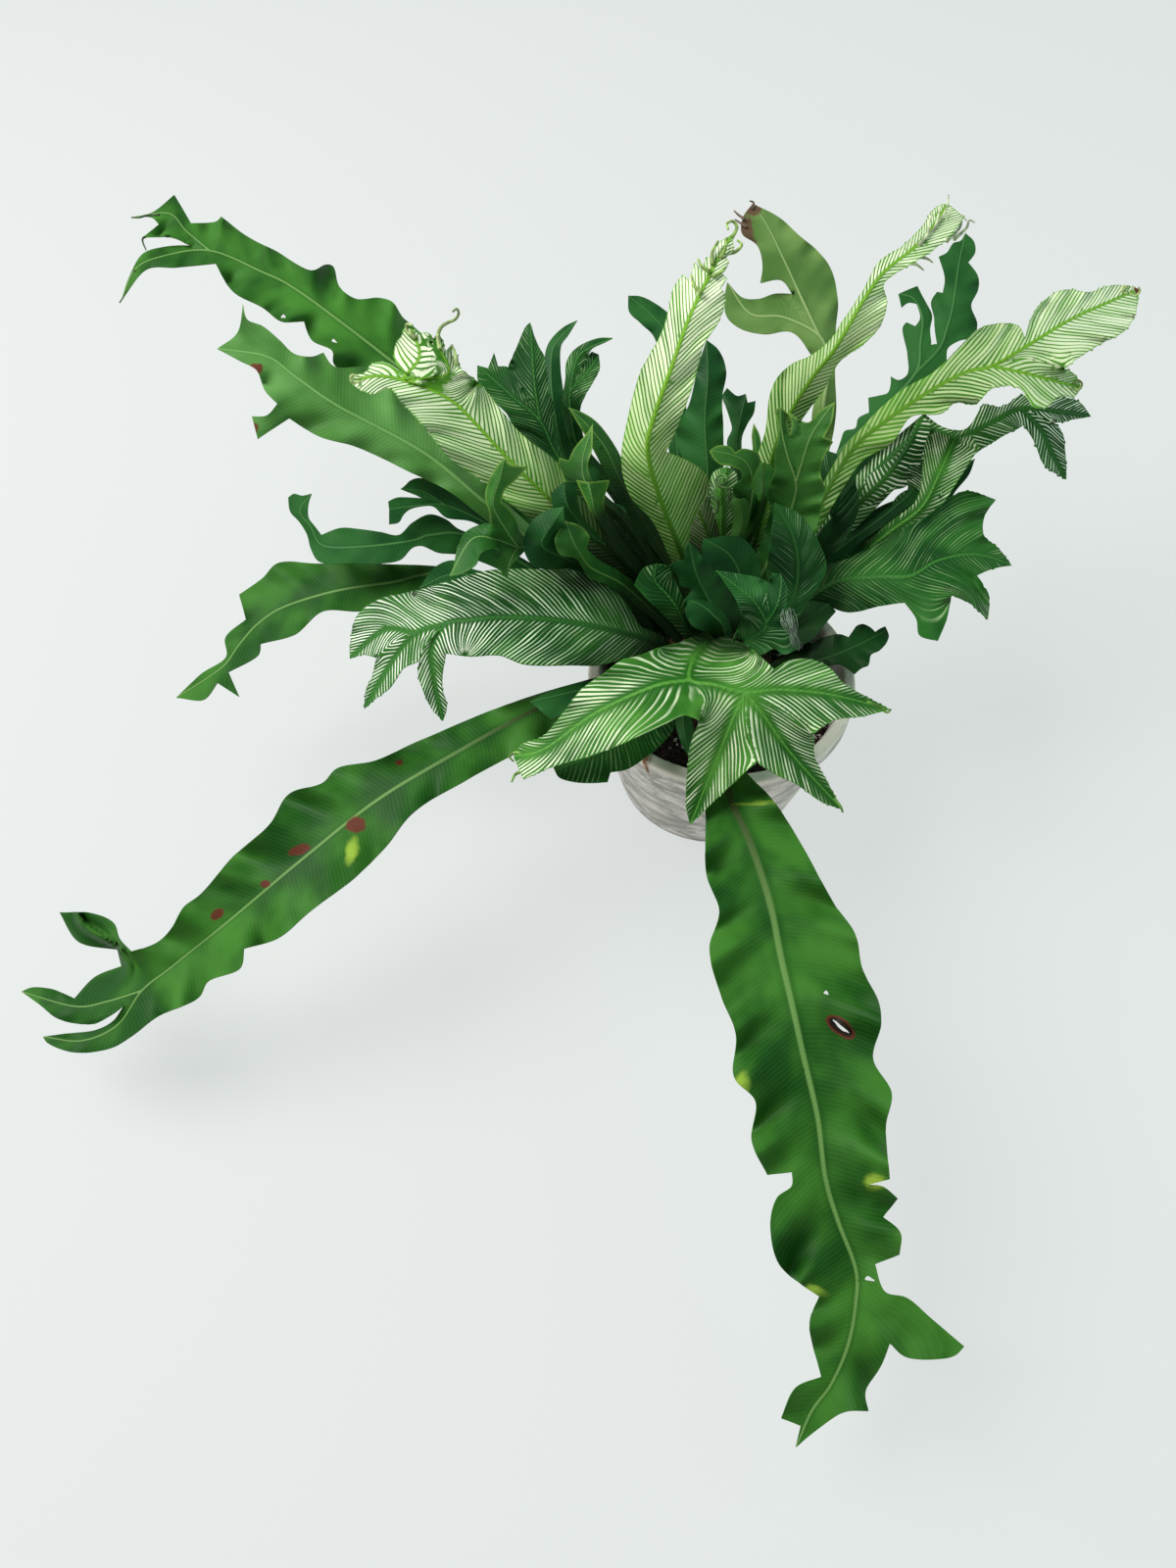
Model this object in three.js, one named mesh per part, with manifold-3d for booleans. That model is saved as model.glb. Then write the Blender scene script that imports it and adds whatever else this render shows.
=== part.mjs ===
// Potted variegated bird's nest fern, in millimetres, +Z up.
// A grey cement pot is filled with potting mix, and one short crown in the mix carries every frond.
// The origin is the middle of the pot's underside, which rests on z = 0.

import * as THREE from 'three';
import { mergeVertices } from 'three/addons/utils/BufferGeometryUtils.js';
import Module from 'manifold-3d';

const wasm = await Module();
wasm.setup();

// Pot
const POT_HEIGHT = 95;
const RIM_RADIUS = 75;
const RIM_BAND = 14;
const RIM_STEP = 2.5;
const BASE_RADIUS = 55;
const WALL = 7;
const FLOOR = 9;
const FOOT_CHAMFER = 2;
const RIM_ROUND = 2;
const POT_SIDES = 48;
const DRAIN_RADIUS = 5;
const DRAIN_RING = 26;
const DRAIN_HOLES = 4;
const DRAIN_SIDES = 12;

// Potting mix and crown
const MIX_TOP = 83;
const GAP = 0.3;
const MIX_SIDES = 40;
const MIX_CLEARANCE = 0.7;
const MIX_ROUND = 8;
const MIX_EDGE_DROP = 1.5;
const CROWN_CENTRE = new THREE.Vector2(-8, 14);
const CROWN_FOOT = 66;
const CROWN_SIDES = 20;
const CROWN_RADIUS = 38;
const CROWN_FOOT_RADIUS = 23;
const CROWN_SHOULDER = 79;
const TERRACE_SLOPE = 0.5;
const TERRACES = [
  { radius: 10, top: 104 },
  { radius: 17, top: 100 },
  { radius: 24, top: 96 },
  { radius: 31, top: 92 },
  { radius: 38, top: 88 },
];
const ROOT_RINGS = [6, 13.5, 20.5, 27.5, 34.5];

// Viewpoint that the fronds are plotted from: a picture 1200 across and 1600 down
const VIEWPOINT = new THREE.Vector3(-75, -416, 612);
const VIEW_PITCH = THREE.MathUtils.degToRad(56.6);
const VIEW_REACH = 1200;
const VIEW_MIDDLE = new THREE.Vector2(600, 800);
const AHEAD = new THREE.Vector3(0, Math.cos(VIEW_PITCH), -Math.sin(VIEW_PITCH));
const BELOW = new THREE.Vector3(0, -Math.sin(VIEW_PITCH), -Math.cos(VIEW_PITCH));

// Frond blades
const BLADE = 0.7;
const FLANK_SWELL = 1.1;
const STALK_HALF_WIDTH = 2.2;
const STALK_THICKNESS = 2.4;
const STALK_EDGE_THICKNESS = 1.9;
const STALK_LENGTH = 45;
const RIB_THICKNESS = 2.2;
const FORK_RIB_THICKNESS = 1.8;
const TIP_RIB_THICKNESS = 1.1;

// Frond layout: distances in the picture, and shares of a rib's length
const RIB_SPACING = 48;
const RIB_PICTURE_WIDTH = 4;
const STALK_PICTURE_WIDTH = 4;
const STALK_SHARE = 0.9;
const VEIN_LEAN = 0.3;
const EVEN_SHARE = 0.4;
const SWAP_PASSES = 30;
const SWAP_MARGIN = 0.01;

// Finishes
const TINTS = {
  plain: 0x2f6b34,
  dark: 0x1f4f2c,
  fresh: 0x4b8a3c,
  young: 0x6fa045,
  pale: 0x93a35a,
  striped: 0x6c9470,
  cream: 0xb9cea6,
};
const LEAF_ROUGHNESS = 0.45;
const CEMENT = { color: 0xb0aba3, roughness: 0.85 };
const STEM = { color: 0x4a3524, roughness: 0.9 };
const SOIL = { color: 0x2c2119, roughness: 0.95 };

/** The point at a height on the line of sight through a place in the picture. */
function sight(across, down, height) {
  const ray = AHEAD.clone()
    .addScaledVector(BELOW, (down - VIEW_MIDDLE.y) / VIEW_REACH)
    .add(new THREE.Vector3((across - VIEW_MIDDLE.x) / VIEW_REACH, 0, 0));
  return VIEWPOINT.clone().addScaledVector(ray, (height - VIEWPOINT.z) / ray.z);
}

/** The place in the picture of a point, with its height. */
function plot(point) {
  const offset = point.clone().sub(VIEWPOINT);
  const depth = offset.dot(AHEAD);
  const across = VIEW_MIDDLE.x + (VIEW_REACH * offset.x) / depth;
  const down = VIEW_MIDDLE.y + (VIEW_REACH * offset.dot(BELOW)) / depth;
  return new THREE.Vector3(across, down, point.z);
}

// Every frond is one entry. A rib runs from the crown to its tip through points across and down
// the picture, with their height. A later rib leaves the one before it at the numbered point.
// Edges run from the crown out to the tip: the left side of the first rib, the space between
// each rib and the next, and the right side of the last, as seen by one who looks along the rib.
// A space has its fold, which ends in the notch, and the two edges that go on from the notch.
const FRONDS = [
  {
    name: 'frond_front_long',
    tint: 'plain',
    root: { turn: -98, ring: 4 },
    ribs: [
      {
        points: [
          [727, 742, 113], [744, 811, 117], [766, 862, 116], [785, 920, 114], [797, 978, 111],
          [810, 1034, 107], [819, 1075, 103], [834, 1140, 95], [842, 1202, 87], [855, 1246, 80],
          [873, 1295, 72], [873, 1330, 67], [865, 1373, 60], [848, 1412, 54], [828, 1440, 49],
          [812, 1477, 42],
        ],
      },
    ],
    edges: [
      [
        [761, 787], [790, 818], [819, 864], [851, 922], [873, 954], [880, 988], [897, 1024],
        [899, 1046], [891, 1080], [910, 1116], [904, 1149], [908, 1203], [886, 1209], [901, 1211],
        [916, 1223], [901, 1242], [919, 1258], [918, 1280], [893, 1290], [903, 1318], [925, 1324],
        [950, 1345], [984, 1374], [973, 1384], [925, 1385], [908, 1371], [899, 1394], [883, 1420],
        [886, 1440], [862, 1441], [835, 1458],
      ],
      [
        [720, 833], [721, 893], [734, 930], [724, 968], [736, 1017], [751, 1056], [749, 1099],
        [771, 1124], [767, 1164], [783, 1199], [808, 1196], [808, 1210], [793, 1222], [786, 1250],
        [795, 1290], [818, 1311], [836, 1323], [826, 1350], [838, 1405], [812, 1416], [797, 1447],
        [817, 1455],
      ],
    ],
  },
  {
    name: 'frond_left_long',
    tint: 'plain',
    root: { turn: 209, ring: 4 },
    ribs: [
      {
        points: [
          [640, 693, 104], [592, 707, 117], [543, 726, 124], [459, 772, 124], [383, 818, 117],
          [306, 879, 104], [237, 937, 88], [176, 986, 72], [145, 1011, 63], [120, 1046, 54],
          [84, 1062, 47], [44, 1058, 40],
        ],
      },
      { from: 8, points: [[110, 1022, 56], [76, 1027, 50], [22, 1012, 42]] },
    ],
    edges: [
      [
        [580, 738], [528, 768], [478, 795], [421, 830], [394, 864], [363, 895], [318, 929],
        [283, 958], [249, 968], [245, 988], [212, 1002], [203, 1018], [160, 1038], [135, 1057],
        [112, 1070], [76, 1074], [48, 1064],
      ],
      {
        fold: [[127, 1026]],
        left: [[115, 1042], [98, 1051], [64, 1055]],
        right: [[110, 1038], [95, 1045], [60, 1040], [40, 1025]],
      },
      [
        [595, 695], [517, 719], [421, 759], [383, 776], [344, 784], [329, 799], [295, 810],
        [275, 841], [237, 875], [205, 912], [187, 926], [175, 947], [160, 962], [134, 971],
        [122, 958], [116, 942], [95, 932], [61, 931], [80, 961], [120, 969], [124, 986], [97, 997],
        [76, 1019], [52, 1009], [31, 1008],
      ],
    ],
  },
  {
    name: 'frond_upper_left_long',
    tint: 'plain',
    root: { turn: 143, ring: 4 },
    ribs: [
      {
        points: [
          [652, 612, 101], [570, 545, 120], [500, 462, 144], [450, 410, 163], [406, 374, 176],
          [344, 326, 190], [298, 293, 196], [268, 278, 198], [214, 256, 200], [165, 262, 198],
          [138, 275, 196], [124, 306, 190],
        ],
      },
      { from: 8, points: [[190, 236, 204], [172, 218, 206], [134, 222, 206]] },
    ],
    edges: [
      [
        [470, 470], [400, 410], [341, 372], [339, 358], [318, 347], [310, 328], [287, 328],
        [268, 314], [237, 297], [220, 269], [180, 273], [150, 275],
      ],
      {
        fold: [[195, 251]],
        left: [[168, 252], [146, 259], [133, 280]],
        right: [[177, 243], [146, 242], [162, 229], [155, 222]],
      },
      [
        [490, 400], [423, 334], [411, 324], [400, 308], [386, 304], [363, 305], [346, 292],
        [340, 272], [332, 270], [318, 276], [281, 256], [250, 240], [226, 221], [221, 226],
        [195, 228], [178, 199], [155, 217],
      ],
    ],
  },
  {
    name: 'frond_left_second',
    tint: 'fresh',
    root: { turn: 152, ring: 4 },
    ribs: [
      {
        points: [
          [652, 622, 106], [580, 583, 132], [494, 512, 168], [432, 462, 184], [344, 414, 203],
          [302, 385, 210], [272, 364, 213], [222, 356, 214],
        ],
      },
    ],
    edges: [
      [
        [459, 502], [421, 483], [363, 456], [325, 445], [295, 427], [263, 448], [257, 425],
        [272, 424], [283, 412], [270, 398], [262, 378], [244, 368],
      ],
      [
        [497, 496], [471, 475], [440, 445], [406, 399], [379, 376], [341, 374], [330, 360],
        [318, 364], [300, 361], [285, 347], [268, 333], [252, 326], [248, 310], [242, 340],
      ],
    ],
  },
  {
    name: 'frond_left_low',
    tint: 'fresh',
    root: { turn: 184, ring: 4 },
    ribs: [
      {
        points: [
          [640, 660, 102], [560, 618, 117], [480, 594, 126], [440, 586, 129], [402, 594, 128],
          [344, 603, 121], [291, 619, 111], [264, 636, 104], [245, 657, 96], [230, 678, 89],
          [210, 693, 82], [180, 712, 74],
        ],
      },
    ],
    edges: [
      [
        [430, 618], [367, 624], [329, 624], [302, 647], [266, 657], [264, 668], [233, 686],
        [244, 711], [222, 697], [208, 714],
      ],
      [
        [432, 577], [400, 576], [363, 574], [325, 575], [283, 575], [268, 590], [244, 607],
        [251, 632], [230, 651], [231, 670], [205, 688],
      ],
    ],
  },
  {
    name: 'frond_left_curled',
    tint: 'dark',
    root: { turn: 174, ring: 4 },
    ribs: [
      {
        points: [
          [642, 653, 98], [560, 592, 118], [480, 548, 140], [420, 553, 147], [370, 558, 149],
          [325, 556, 147], [306, 535, 146], [318, 505, 146],
        ],
      },
    ],
    edges: [
      [
        [468, 565], [425, 561], [409, 574], [360, 577], [325, 574], [309, 556], [296, 526],
        [300, 508],
      ],
      [[468, 524], [430, 530], [406, 545], [370, 541], [335, 542], [322, 528]],
    ],
  },
  {
    name: 'frond_back_pale',
    tint: 'pale',
    root: { turn: 68, ring: 4 },
    ribs: [
      {
        points: [
          [762, 580, 100], [800, 520, 120], [836, 455, 146], [841, 409, 170], [845, 373, 180],
          [836, 343, 187], [800, 324, 188], [765, 320, 186], [742, 288, 186],
        ],
      },
      { from: 5, points: [[819, 307, 194], [799, 264, 200], [784, 233, 203], [768, 208, 205]] },
    ],
    edges: [
      [
        [829, 420], [836, 385], [826, 360], [808, 339], [780, 341], [755, 335], [741, 322],
        [740, 300],
      ],
      {
        fold: [[818, 322], [808, 300]],
        left: [[790, 300], [775, 305], [758, 304]],
        right: [[797, 286], [776, 289], [778, 270], [773, 251], [757, 238], [758, 222]],
      },
      [
        [853, 420], [852, 385], [853, 333], [855, 307], [848, 275], [835, 257], [815, 240],
        [795, 222],
      ],
    ],
  },
  {
    name: 'frond_back_dark',
    tint: 'dark',
    root: { turn: 55, ring: 4 },
    ribs: [
      {
        points: [
          [775, 580, 110], [820, 510, 137], [855, 463, 153], [899, 419, 174], [934, 381, 186],
          [939, 350, 193], [943, 322, 199], [930, 293, 203],
        ],
      },
      {
        from: 4,
        points: [
          [958, 356, 193], [966, 335, 198], [972, 312, 203], [978, 271, 210], [985, 238, 214],
        ],
      },
    ],
    edges: [
      [
        [868, 440], [884, 425], [886, 404], [905, 401], [908, 385], [923, 384], [921, 330],
        [936, 327], [932, 312], [917, 316], [914, 301],
      ],
      {
        fold: [[945, 361], [952, 350]],
        left: [[948, 334], [944, 314], [937, 300]],
        right: [[956, 340], [953, 320], [954, 302], [963, 298], [963, 272], [957, 262], [973, 256]],
      },
      [
        [880, 455], [930, 410], [965, 372], [966, 350], [992, 343], [996, 328], [990, 310],
        [997, 280], [988, 268], [995, 250],
      ],
    ],
  },
  {
    name: 'frond_striped_left',
    tint: 'cream',
    root: { turn: 160, ring: 2 },
    ribs: [
      {
        points: [
          [670, 605, 122], [610, 555, 165], [545, 495, 198], [517, 467, 210], [479, 426, 224],
          [463, 411, 229], [440, 398, 234], [410, 388, 238], [358, 390, 240],
        ],
      },
      { from: 6, points: [[428, 364, 243], [420, 333, 248]] },
      { from: 5, points: [[456, 382, 238], [460, 352, 244]] },
    ],
    edges: [
      [[491, 490], [458, 467], [438, 441], [410, 413], [404, 403], [380, 403]],
      {
        fold: [[430, 391], [417, 383]],
        left: [[400, 375], [385, 371], [368, 378]],
        right: [[403, 370], [404, 350], [412, 340]],
      },
      {
        fold: [[444, 382], [441, 346]],
        left: [[432, 339]],
        right: [[450, 356]],
      },
      [[581, 495], [568, 472], [530, 441], [489, 391], [470, 380], [467, 362]],
    ],
  },
  {
    name: 'frond_striped_upright',
    tint: 'cream',
    root: { turn: 150, ring: 0 },
    ribs: [
      {
        points: [
          [710, 608, 128], [694, 562, 160], [671, 501, 202], [661, 460, 226], [666, 430, 239],
          [684, 379, 260], [702, 328, 274], [720, 289, 284], [741, 251, 290], [753, 229, 292],
        ],
      },
    ],
    edges: [
      [
        [684, 570], [666, 532], [643, 506], [634, 470], [642, 422], [654, 379], [676, 338],
        [689, 291], [712, 265], [735, 238],
      ],
      [
        [703, 560], [707, 532], [722, 505], [728, 484], [700, 474], [678, 461], [687, 445],
        [703, 405], [712, 375], [718, 352], [735, 325], [741, 300], [748, 270], [757, 248],
      ],
    ],
  },
  {
    name: 'frond_striped_twisted',
    tint: 'cream',
    root: { turn: 64, ring: 2 },
    ribs: [
      {
        points: [
          [758, 592, 112], [780, 520, 148], [789, 463, 180], [809, 417, 204], [830, 384, 222],
          [852, 356, 238], [881, 307, 258], [901, 279, 264], [929, 256, 267], [947, 238, 268],
          [967, 208, 268],
        ],
      },
    ],
    edges: [
      [
        [768, 480], [781, 440], [786, 402], [795, 383], [809, 371], [827, 363], [847, 347],
        [862, 325], [880, 298], [897, 268], [920, 252], [940, 232], [955, 212],
      ],
      [
        [800, 490], [812, 440], [826, 417], [840, 399], [856, 370], [880, 352], [898, 333],
        [905, 310], [902, 290], [925, 272], [948, 258], [970, 240], [984, 222],
      ],
    ],
  },
  {
    name: 'frond_striped_right',
    tint: 'cream',
    root: { turn: 28, ring: 2 },
    ribs: [
      {
        points: [
          [775, 618, 116], [820, 545, 148], [866, 465, 178], [900, 433, 190], [948, 400, 202],
          [986, 380, 208], [1012, 374, 211], [1045, 355, 213], [1091, 327, 211], [1130, 309, 207],
          [1162, 295, 202],
        ],
      },
      { from: 6, points: [[1045, 381, 208], [1072, 388, 202], [1103, 396, 194]] },
    ],
    edges: [
      [
        [862, 456], [880, 436], [900, 415], [925, 395], [948, 383], [966, 368], [980, 353],
        [1000, 335], [1022, 330], [1040, 333], [1046, 345], [1052, 325], [1063, 309], [1085, 296],
        [1112, 298], [1136, 291], [1149, 292],
      ],
      {
        fold: [[1045, 366], [1085, 376]],
        left: [[1096, 368], [1108, 360], [1130, 347], [1147, 338], [1158, 322]],
        right: [[1098, 384]],
      },
      [
        [880, 470], [910, 452], [930, 425], [960, 422], [975, 411], [996, 412], [1012, 396],
        [1040, 396], [1056, 416], [1068, 415], [1082, 404], [1096, 406],
      ],
    ],
  },
  {
    name: 'frond_right_arching',
    tint: 'striped',
    root: { turn: 41, ring: 4 },
    ribs: [
      {
        points: [
          [800, 605, 108], [850, 537, 130], [892, 484, 147], [925, 452, 160], [952, 440, 164],
          [978, 447, 166], [1010, 432, 167], [1042, 417, 165], [1078, 420, 160], [1113, 425, 152],
        ],
      },
      { from: 7, points: [[1063, 440, 158], [1074, 464, 150], [1088, 489, 140]] },
    ],
    edges: [
      [
        [880, 478], [910, 450], [943, 422], [962, 436], [985, 438], [1003, 412], [1022, 415],
        [1042, 402], [1060, 412], [1080, 405], [1102, 411],
      ],
      {
        fold: [[1074, 431]],
        left: [[1095, 428]],
        right: [[1084, 442], [1087, 462]],
      },
      [
        [900, 512], [922, 490], [938, 500], [950, 515], [968, 498], [992, 466], [1022, 446],
        [1045, 434], [1056, 452], [1066, 475],
      ],
    ],
  },
  {
    name: 'frond_right_fingered',
    tint: 'striped',
    root: { turn: 3, ring: 4 },
    ribs: [
      {
        points: [
          [795, 645, 100], [844, 598, 131], [892, 589, 147], [928, 588, 154], [955, 573, 154],
          [985, 566, 152], [1008, 568, 148], [1032, 577, 142],
        ],
      },
    ],
    edges: [
      [
        [835, 580], [860, 572], [890, 558], [920, 540], [945, 527], [965, 511], [985, 501],
        [1016, 510], [1005, 526], [1004, 546], [1019, 560],
      ],
      [
        [838, 618], [866, 625], [900, 618], [923, 615], [935, 632], [938, 648], [957, 654],
        [966, 632], [971, 607], [990, 616], [1008, 632], [1009, 608], [997, 587], [1014, 580],
      ],
    ],
  },
  {
    name: 'frond_right_behind',
    tint: 'dark',
    root: { turn: 20, ring: 4 },
    ribs: [
      {
        points: [
          [795, 636, 97], [828, 606, 104], [866, 568, 118], [909, 542, 128], [935, 526, 132],
          [953, 510, 134],
        ],
      },
    ],
    edges: [
      [[850, 556], [875, 532], [900, 516], [925, 508]],
      [[870, 585], [905, 572], [940, 556], [955, 535]],
    ],
  },
  {
    name: 'frond_striped_low_left',
    tint: 'striped',
    root: { turn: 193, ring: 2 },
    ribs: [
      {
        points: [
          [673, 657, 122], [640, 647, 139], [604, 639, 150], [558, 632, 157], [512, 630, 159],
          [480, 633, 158], [455, 637, 155], [440, 662, 146], [444, 700, 134], [452, 736, 124],
        ],
      },
      { from: 6, points: [[425, 646, 150], [402, 672, 140], [372, 723, 124]] },
      { from: 7, points: [[392, 643, 145], [357, 672, 134]] },
    ],
    edges: [
      [
        [640, 672], [611, 679], [580, 679], [535, 678], [510, 669], [482, 670], [455, 667],
        [451, 700], [456, 722],
      ],
      {
        fold: [[433, 660], [428, 674]],
        left: [[427, 690], [440, 722]],
        right: [[412, 682], [398, 702], [382, 714]],
      },
      {
        fold: [[402, 655], [385, 670]],
        left: [[380, 690], [373, 706]],
        right: [[370, 668]],
      },
      [
        [655, 640], [636, 612], [615, 594], [590, 583], [551, 581], [501, 582], [455, 594],
        [420, 604], [386, 612], [364, 629], [358, 652],
      ],
    ],
  },
  {
    name: 'frond_hero_front',
    tint: 'striped',
    root: { turn: 80, ring: 0 },
    ribs: [
      {
        points: [
          [720, 657, 125], [708, 672, 147], [704, 694, 162], [730, 699, 165], [760, 707, 162],
          [795, 704, 158], [848, 709, 149], [908, 724, 134],
        ],
      },
      { from: 4, points: [[779, 730, 155], [808, 770, 138], [859, 826, 112]] },
      { from: 4, points: [[749, 730, 156], [732, 772, 140], [704, 842, 114]] },
      { from: 2, points: [[666, 701, 164], [607, 728, 157], [556, 764, 145], [524, 772, 137]] },
    ],
    edges: [
      [
        [732, 648, 9], [747, 652, 10], [768, 663, 3], [790, 683], [805, 674], [822, 672],
        [843, 679], [862, 698], [884, 711],
      ],
      {
        fold: [[800, 728], [829, 749]],
        left: [[851, 735], [880, 731]],
        right: [[831, 772], [847, 803]],
      },
      {
        fold: [[762, 742], [773, 777]],
        left: [[790, 789], [812, 800], [838, 818]],
        right: [[757, 791], [722, 824]],
      },
      {
        fold: [[718, 714], [714, 735]],
        left: [[706, 754], [701, 791], [700, 822]],
        right: [[698, 730], [680, 738], [650, 752], [620, 765], [590, 775], [562, 783], [534, 795]],
      },
      [
        [695, 655], [672, 661], [655, 668], [634, 674], [615, 688], [594, 703], [575, 727],
        [553, 752], [532, 760],
      ],
    ],
  },
  {
    name: 'leaf_crested_back_left',
    tint: 'dark',
    root: { turn: 144, ring: 2 },
    ribs: [
      {
        points: [
          [672, 592, 122], [620, 530, 155], [570, 467, 181], [551, 424, 198], [543, 383, 212],
          [541, 329, 226],
        ],
      },
    ],
    edges: [
      [
        [545, 468], [520, 432], [496, 404], [486, 373], [499, 379], [504, 360], [510, 376],
        [520, 366], [530, 342],
      ],
      [[590, 468], [572, 430], [563, 395], [556, 360], [549, 345]],
    ],
  },
  {
    name: 'leaf_fingered_back_left',
    tint: 'dark',
    root: { turn: 130, ring: 2 },
    ribs: [
      {
        points: [
          [684, 585, 114], [637, 518, 138], [593, 462, 163], [582, 425, 184], [580, 392, 196],
          [592, 362, 206], [625, 345, 212],
        ],
      },
    ],
    edges: [
      [[570, 462], [562, 430], [566, 395], [558, 378], [572, 372], [578, 366], [590, 352]],
      [[608, 470], [594, 430], [600, 395], [609, 380], [613, 362], [604, 362]],
    ],
  },
  {
    name: 'leaf_narrow_back_left',
    tint: 'dark',
    root: { turn: 134, ring: 3 },
    ribs: [
      {
        points: [
          [668, 600, 102], [614, 535, 126], [578, 470, 150], [566, 420, 174], [562, 380, 187],
          [566, 352, 194], [589, 327, 200],
        ],
      },
    ],
    edges: [
      [[555, 400], [555, 370], [560, 350], [575, 334]],
      [[575, 400], [572, 375], [573, 352], [580, 342]],
    ],
  },
  {
    name: 'leaf_strap_back_left',
    tint: 'young',
    root: { turn: 111, ring: 2 },
    ribs: [
      {
        points: [
          [694, 590, 120], [655, 530, 148], [632, 488, 166], [618, 458, 178], [600, 435, 188],
          [580, 416, 196],
        ],
      },
    ],
    edges: [
      [[621, 490], [606, 460], [592, 436]],
      [[642, 487], [629, 458], [608, 430], [592, 420]],
    ],
  },
  {
    name: 'leaf_pointed_left',
    tint: 'young',
    root: { turn: 128, ring: 1 },
    ribs: [
      {
        points: [
          [694, 594, 126], [646, 542, 162], [604, 500, 184], [600, 465, 190], [606, 432, 200],
        ],
      },
    ],
    edges: [
      [[590, 497], [591, 462]],
      [[608, 490], [611, 455]],
    ],
  },
  {
    name: 'leaf_crested_left',
    tint: 'young',
    root: { turn: 177, ring: 2 },
    ribs: [
      {
        points: [
          [655, 632, 108], [612, 580, 127], [565, 561, 155], [537, 557, 174], [524, 568, 175],
          [517, 591, 170],
        ],
      },
      { from: 3, points: [[505, 550, 188], [481, 551, 190], [459, 588, 182]] },
      { from: 3, points: [[520, 532, 204], [510, 503, 222], [515, 467, 234]] },
    ],
    edges: [
      [[560, 575], [540, 568], [530, 572], [524, 584]],
      {
        fold: [[520, 560], [506, 560]],
        left: [[505, 572], [509, 584]],
        right: [[490, 563], [480, 572], [470, 584]],
      },
      {
        fold: [[510, 541], [500, 533]],
        left: [[482, 534], [466, 550], [463, 572]],
        right: [[496, 518], [495, 498], [505, 478]],
      },
      [[565, 552], [545, 540], [533, 515], [526, 494], [539, 477], [524, 476]],
    ],
  },
  {
    name: 'leaf_blue_green_left',
    tint: 'plain',
    root: { turn: 172, ring: 1 },
    ribs: [
      {
        points: [
          [670, 628, 119], [620, 587, 138], [578, 570, 165], [553, 556, 188], [564, 534, 198],
          [575, 517, 205],
        ],
      },
    ],
    edges: [
      [[585, 581], [545, 578], [534, 556], [543, 532], [560, 520]],
      [[585, 566], [577, 550], [576, 534]],
    ],
  },
  {
    name: 'leaf_three_cornered',
    tint: 'young',
    root: { turn: 149, ring: 1 },
    ribs: [
      {
        points: [
          [678, 612, 122], [640, 572, 156], [610, 528, 186], [604, 508, 197], [600, 492, 202],
        ],
      },
    ],
    edges: [
      [[602, 520], [588, 490]],
      [[616, 515], [622, 490]],
    ],
  },
  {
    name: 'leaf_dark_under_left',
    tint: 'dark',
    root: { turn: 163, ring: 4 },
    ribs: [
      {
        points: [
          [644, 637, 104], [560, 571, 130], [500, 536, 152], [450, 516, 159], [420, 510, 162],
          [394, 514, 162],
        ],
      },
    ],
    edges: [
      [[480, 532], [450, 526], [425, 522], [398, 534]],
      [[480, 506], [450, 492], [420, 490], [408, 499]],
    ],
  },
  {
    name: 'leaf_dark_small_left',
    tint: 'dark',
    root: { turn: 174, ring: 3 },
    ribs: [
      {
        points: [
          [640, 638, 108], [560, 608, 128], [500, 592, 138], [462, 586, 141], [428, 600, 141],
        ],
      },
    ],
    edges: [
      [[465, 596]],
      [[480, 580], [462, 572], [445, 578]],
    ],
  },
  {
    name: 'leaf_rolled_young',
    tint: 'young',
    root: { turn: 200, ring: 0 },
    ribs: [
      {
        points: [
          [701, 641, 121], [692, 622, 134], [680, 606, 142], [668, 592, 148], [670, 575, 154],
        ],
      },
    ],
    edges: [
      [[684, 634], [661, 612], [647, 597], [656, 580]],
      [[704, 622], [694, 604], [688, 590], [680, 577]],
    ],
  },
  {
    name: 'leaf_dark_back_wide',
    tint: 'dark',
    root: { turn: 88, ring: 2 },
    ribs: [
      {
        points: [
          [726, 590, 116], [724, 530, 144], [722, 481, 168], [719, 430, 188], [722, 385, 204],
          [721, 347, 214],
        ],
      },
    ],
    edges: [
      [[708, 490], [690, 447], [704, 410], [712, 375]],
      [[738, 490], [738, 437], [737, 405], [741, 378], [733, 357]],
    ],
  },
  {
    name: 'leaf_dark_back_crested',
    tint: 'dark',
    root: { turn: 74, ring: 3 },
    ribs: [
      {
        points: [
          [744, 585, 108], [751, 530, 134], [752, 485, 154], [752, 450, 168], [757, 425, 178],
          [761, 403, 184],
        ],
      },
    ],
    edges: [
      [[742, 470], [743, 435], [737, 412], [740, 397], [750, 407]],
      [[764, 470], [764, 435], [771, 409]],
    ],
  },
  {
    name: 'leaf_behind_upright',
    tint: 'dark',
    root: { turn: 99, ring: 3 },
    ribs: [
      {
        points: [
          [712, 590, 108], [700, 520, 134], [690, 450, 158], [686, 390, 176], [681, 345, 188],
          [665, 322, 192], [641, 302, 194],
        ],
      },
    ],
    edges: [
      [[680, 440], [674, 380], [668, 345], [654, 330], [642, 318]],
      [[702, 440], [697, 380], [692, 335], [682, 320], [655, 303]],
    ],
  },
  {
    name: 'leaf_crested_back_right',
    tint: 'young',
    root: { turn: 45, ring: 2 },
    ribs: [
      {
        points: [
          [770, 604, 122], [796, 550, 152], [809, 516, 172], [817, 481, 190], [826, 450, 205],
          [853, 412, 217],
        ],
      },
    ],
    edges: [
      [[797, 510], [800, 470], [796, 440], [794, 418], [806, 436], [826, 430]],
      [[822, 510], [836, 472], [850, 440]],
    ],
  },
  {
    name: 'leaf_light_back',
    tint: 'young',
    root: { turn: 87, ring: 1 },
    ribs: [
      {
        points: [
          [744, 612, 112], [757, 565, 130], [762, 515, 173], [752, 480, 190], [725, 458, 202],
        ],
      },
    ],
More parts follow.
